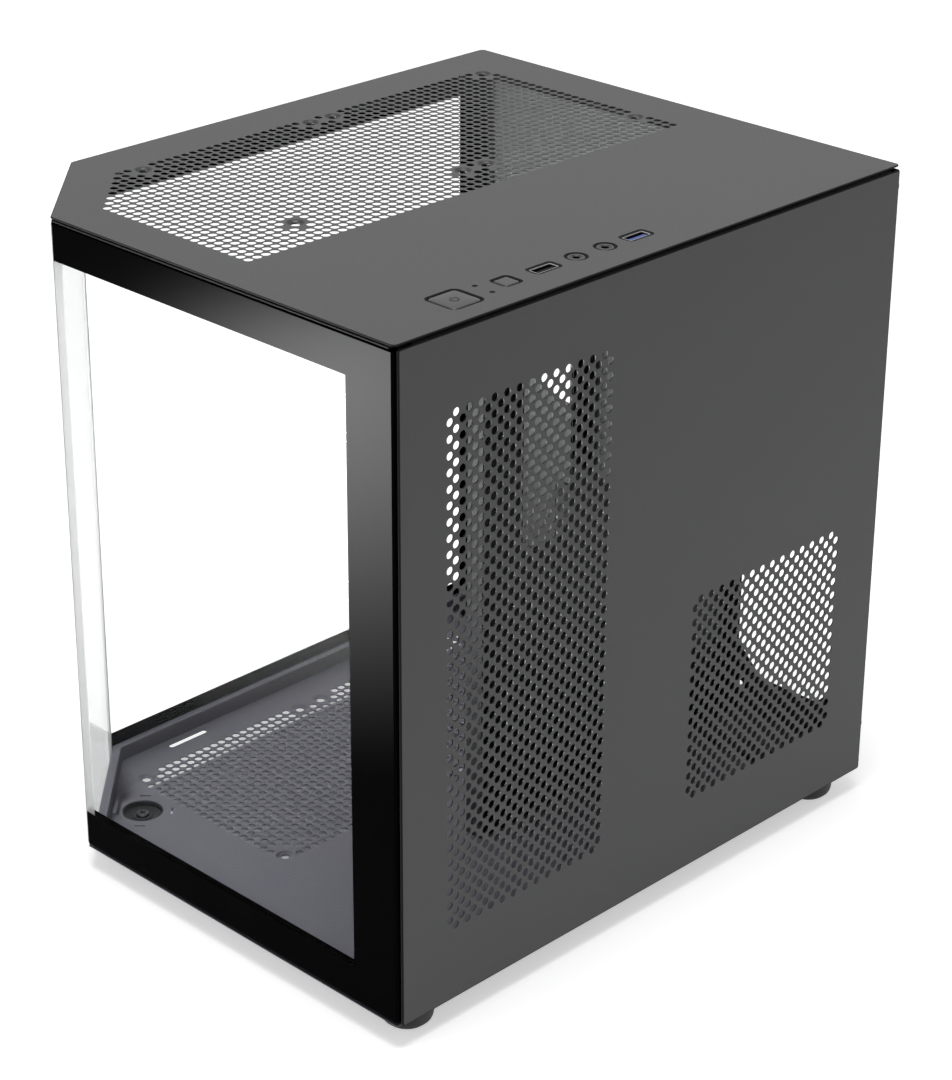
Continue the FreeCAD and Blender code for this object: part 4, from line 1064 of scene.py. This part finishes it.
def card_fade(tree, place, peak):
    """Strength that rises from nothing at one end to full at the peak and falls again."""
    curve = tree.nodes.new("ShaderNodeValToRGB")
    curve.color_ramp.interpolation = "EASE"
    curve.color_ramp.elements[0].color = (0, 0, 0, 1)
    curve.color_ramp.elements[1].color = (0, 0, 0, 1)
    curve.color_ramp.elements.new(peak).color = (1, 1, 1, 1)
    tree.links.new(place, curve.inputs["Fac"])
    return curve.outputs["Color"]


def gloss_card():
    """Soft light lying low in front of the case that only glossy surfaces show.

    It is brightest near one end and fades to nothing at its sides and ends."""
    along = Vector(CARD_ALONG).normalized()
    middle = Vector(at(*CARD_PLACE)) + along * CARD_SHIFT
    power = math.pi * CARD_LONG * CARD_WIDE * CARD_LEVEL
    card = lamp("gloss_card", middle, middle + Vector((0, 0, 1)), CARD_LONG, CARD_WIDE, power)
    card.rotation_euler = (math.pi, 0, math.atan2(along.y, along.x))
    for part in ("camera", "diffuse", "transmission", "volume_scatter"):
        setattr(card, "visible_" + part, False)
    card.data.use_nodes = True
    tree = card.data.node_tree
    spot = tree.nodes.new("ShaderNodeNewGeometry")
    split = tree.nodes.new("ShaderNodeSeparateXYZ")
    tree.links.new(spot.outputs["Parametric"], split.inputs[0])
    both = tree.nodes.new("ShaderNodeMath")
    both.operation = "MULTIPLY"
    for number, peak in enumerate(CARD_PEAKS):
        tree.links.new(card_fade(tree, split.outputs[number], peak), both.inputs[number])
    tree.links.new(both.outputs[0], tree.nodes["Emission"].inputs["Strength"])


# Camera: its place in mm of the case, its angles in degrees, its lens and sensor in mm
LENS, SENSOR = 96.984, 36.0
EYE = (1050.62, -742.68, 747.92)
EYE_ANGLES = (-44.4805, -25.3117, 0.3052)


def photo_camera():
    """Camera where the photo was taken from."""
    camera = bpy.data.cameras.new("photo_view")
    camera.lens = LENS
    camera.sensor_width = SENSOR
    camera.clip_start, camera.clip_end = 0.05, 50
    eye = bpy.data.objects.new("photo_view", camera)
    scene.collection.objects.link(eye)
    eye.location = at(*EYE)
    yaw, pitch, roll = (math.radians(a) for a in EYE_ANGLES)
    ahead = Vector((math.sin(yaw) * math.cos(pitch), math.cos(yaw) * math.cos(pitch),
                    math.sin(pitch)))
    right = ahead.cross(Vector((0, 0, 1))).normalized()
    up = right.cross(ahead)
    right_rolled = right * math.cos(roll) + up * math.sin(roll)
    up_rolled = up * math.cos(roll) - right * math.sin(roll)
    turn = Matrix((right_rolled, up_rolled, -ahead)).transposed()
    eye.rotation_mode = "QUATERNION"
    eye.rotation_quaternion = turn.to_quaternion()
    scene.camera = eye


stage_floor()
studio_world()
gloss_card()
lamp("overhead", (0.12, -0.2, 2.3), aim=(0, 0, 0.2), wide=1.0, tall=1.0, power=30)
lamp("front_soft", (-1.2, -1.6, 1.2), aim=(0, 0, 0.15), wide=1.2, tall=1.0, power=3)
photo_camera()
scene.view_settings.view_transform = "Standard"

bpy.context.view_layer.update()
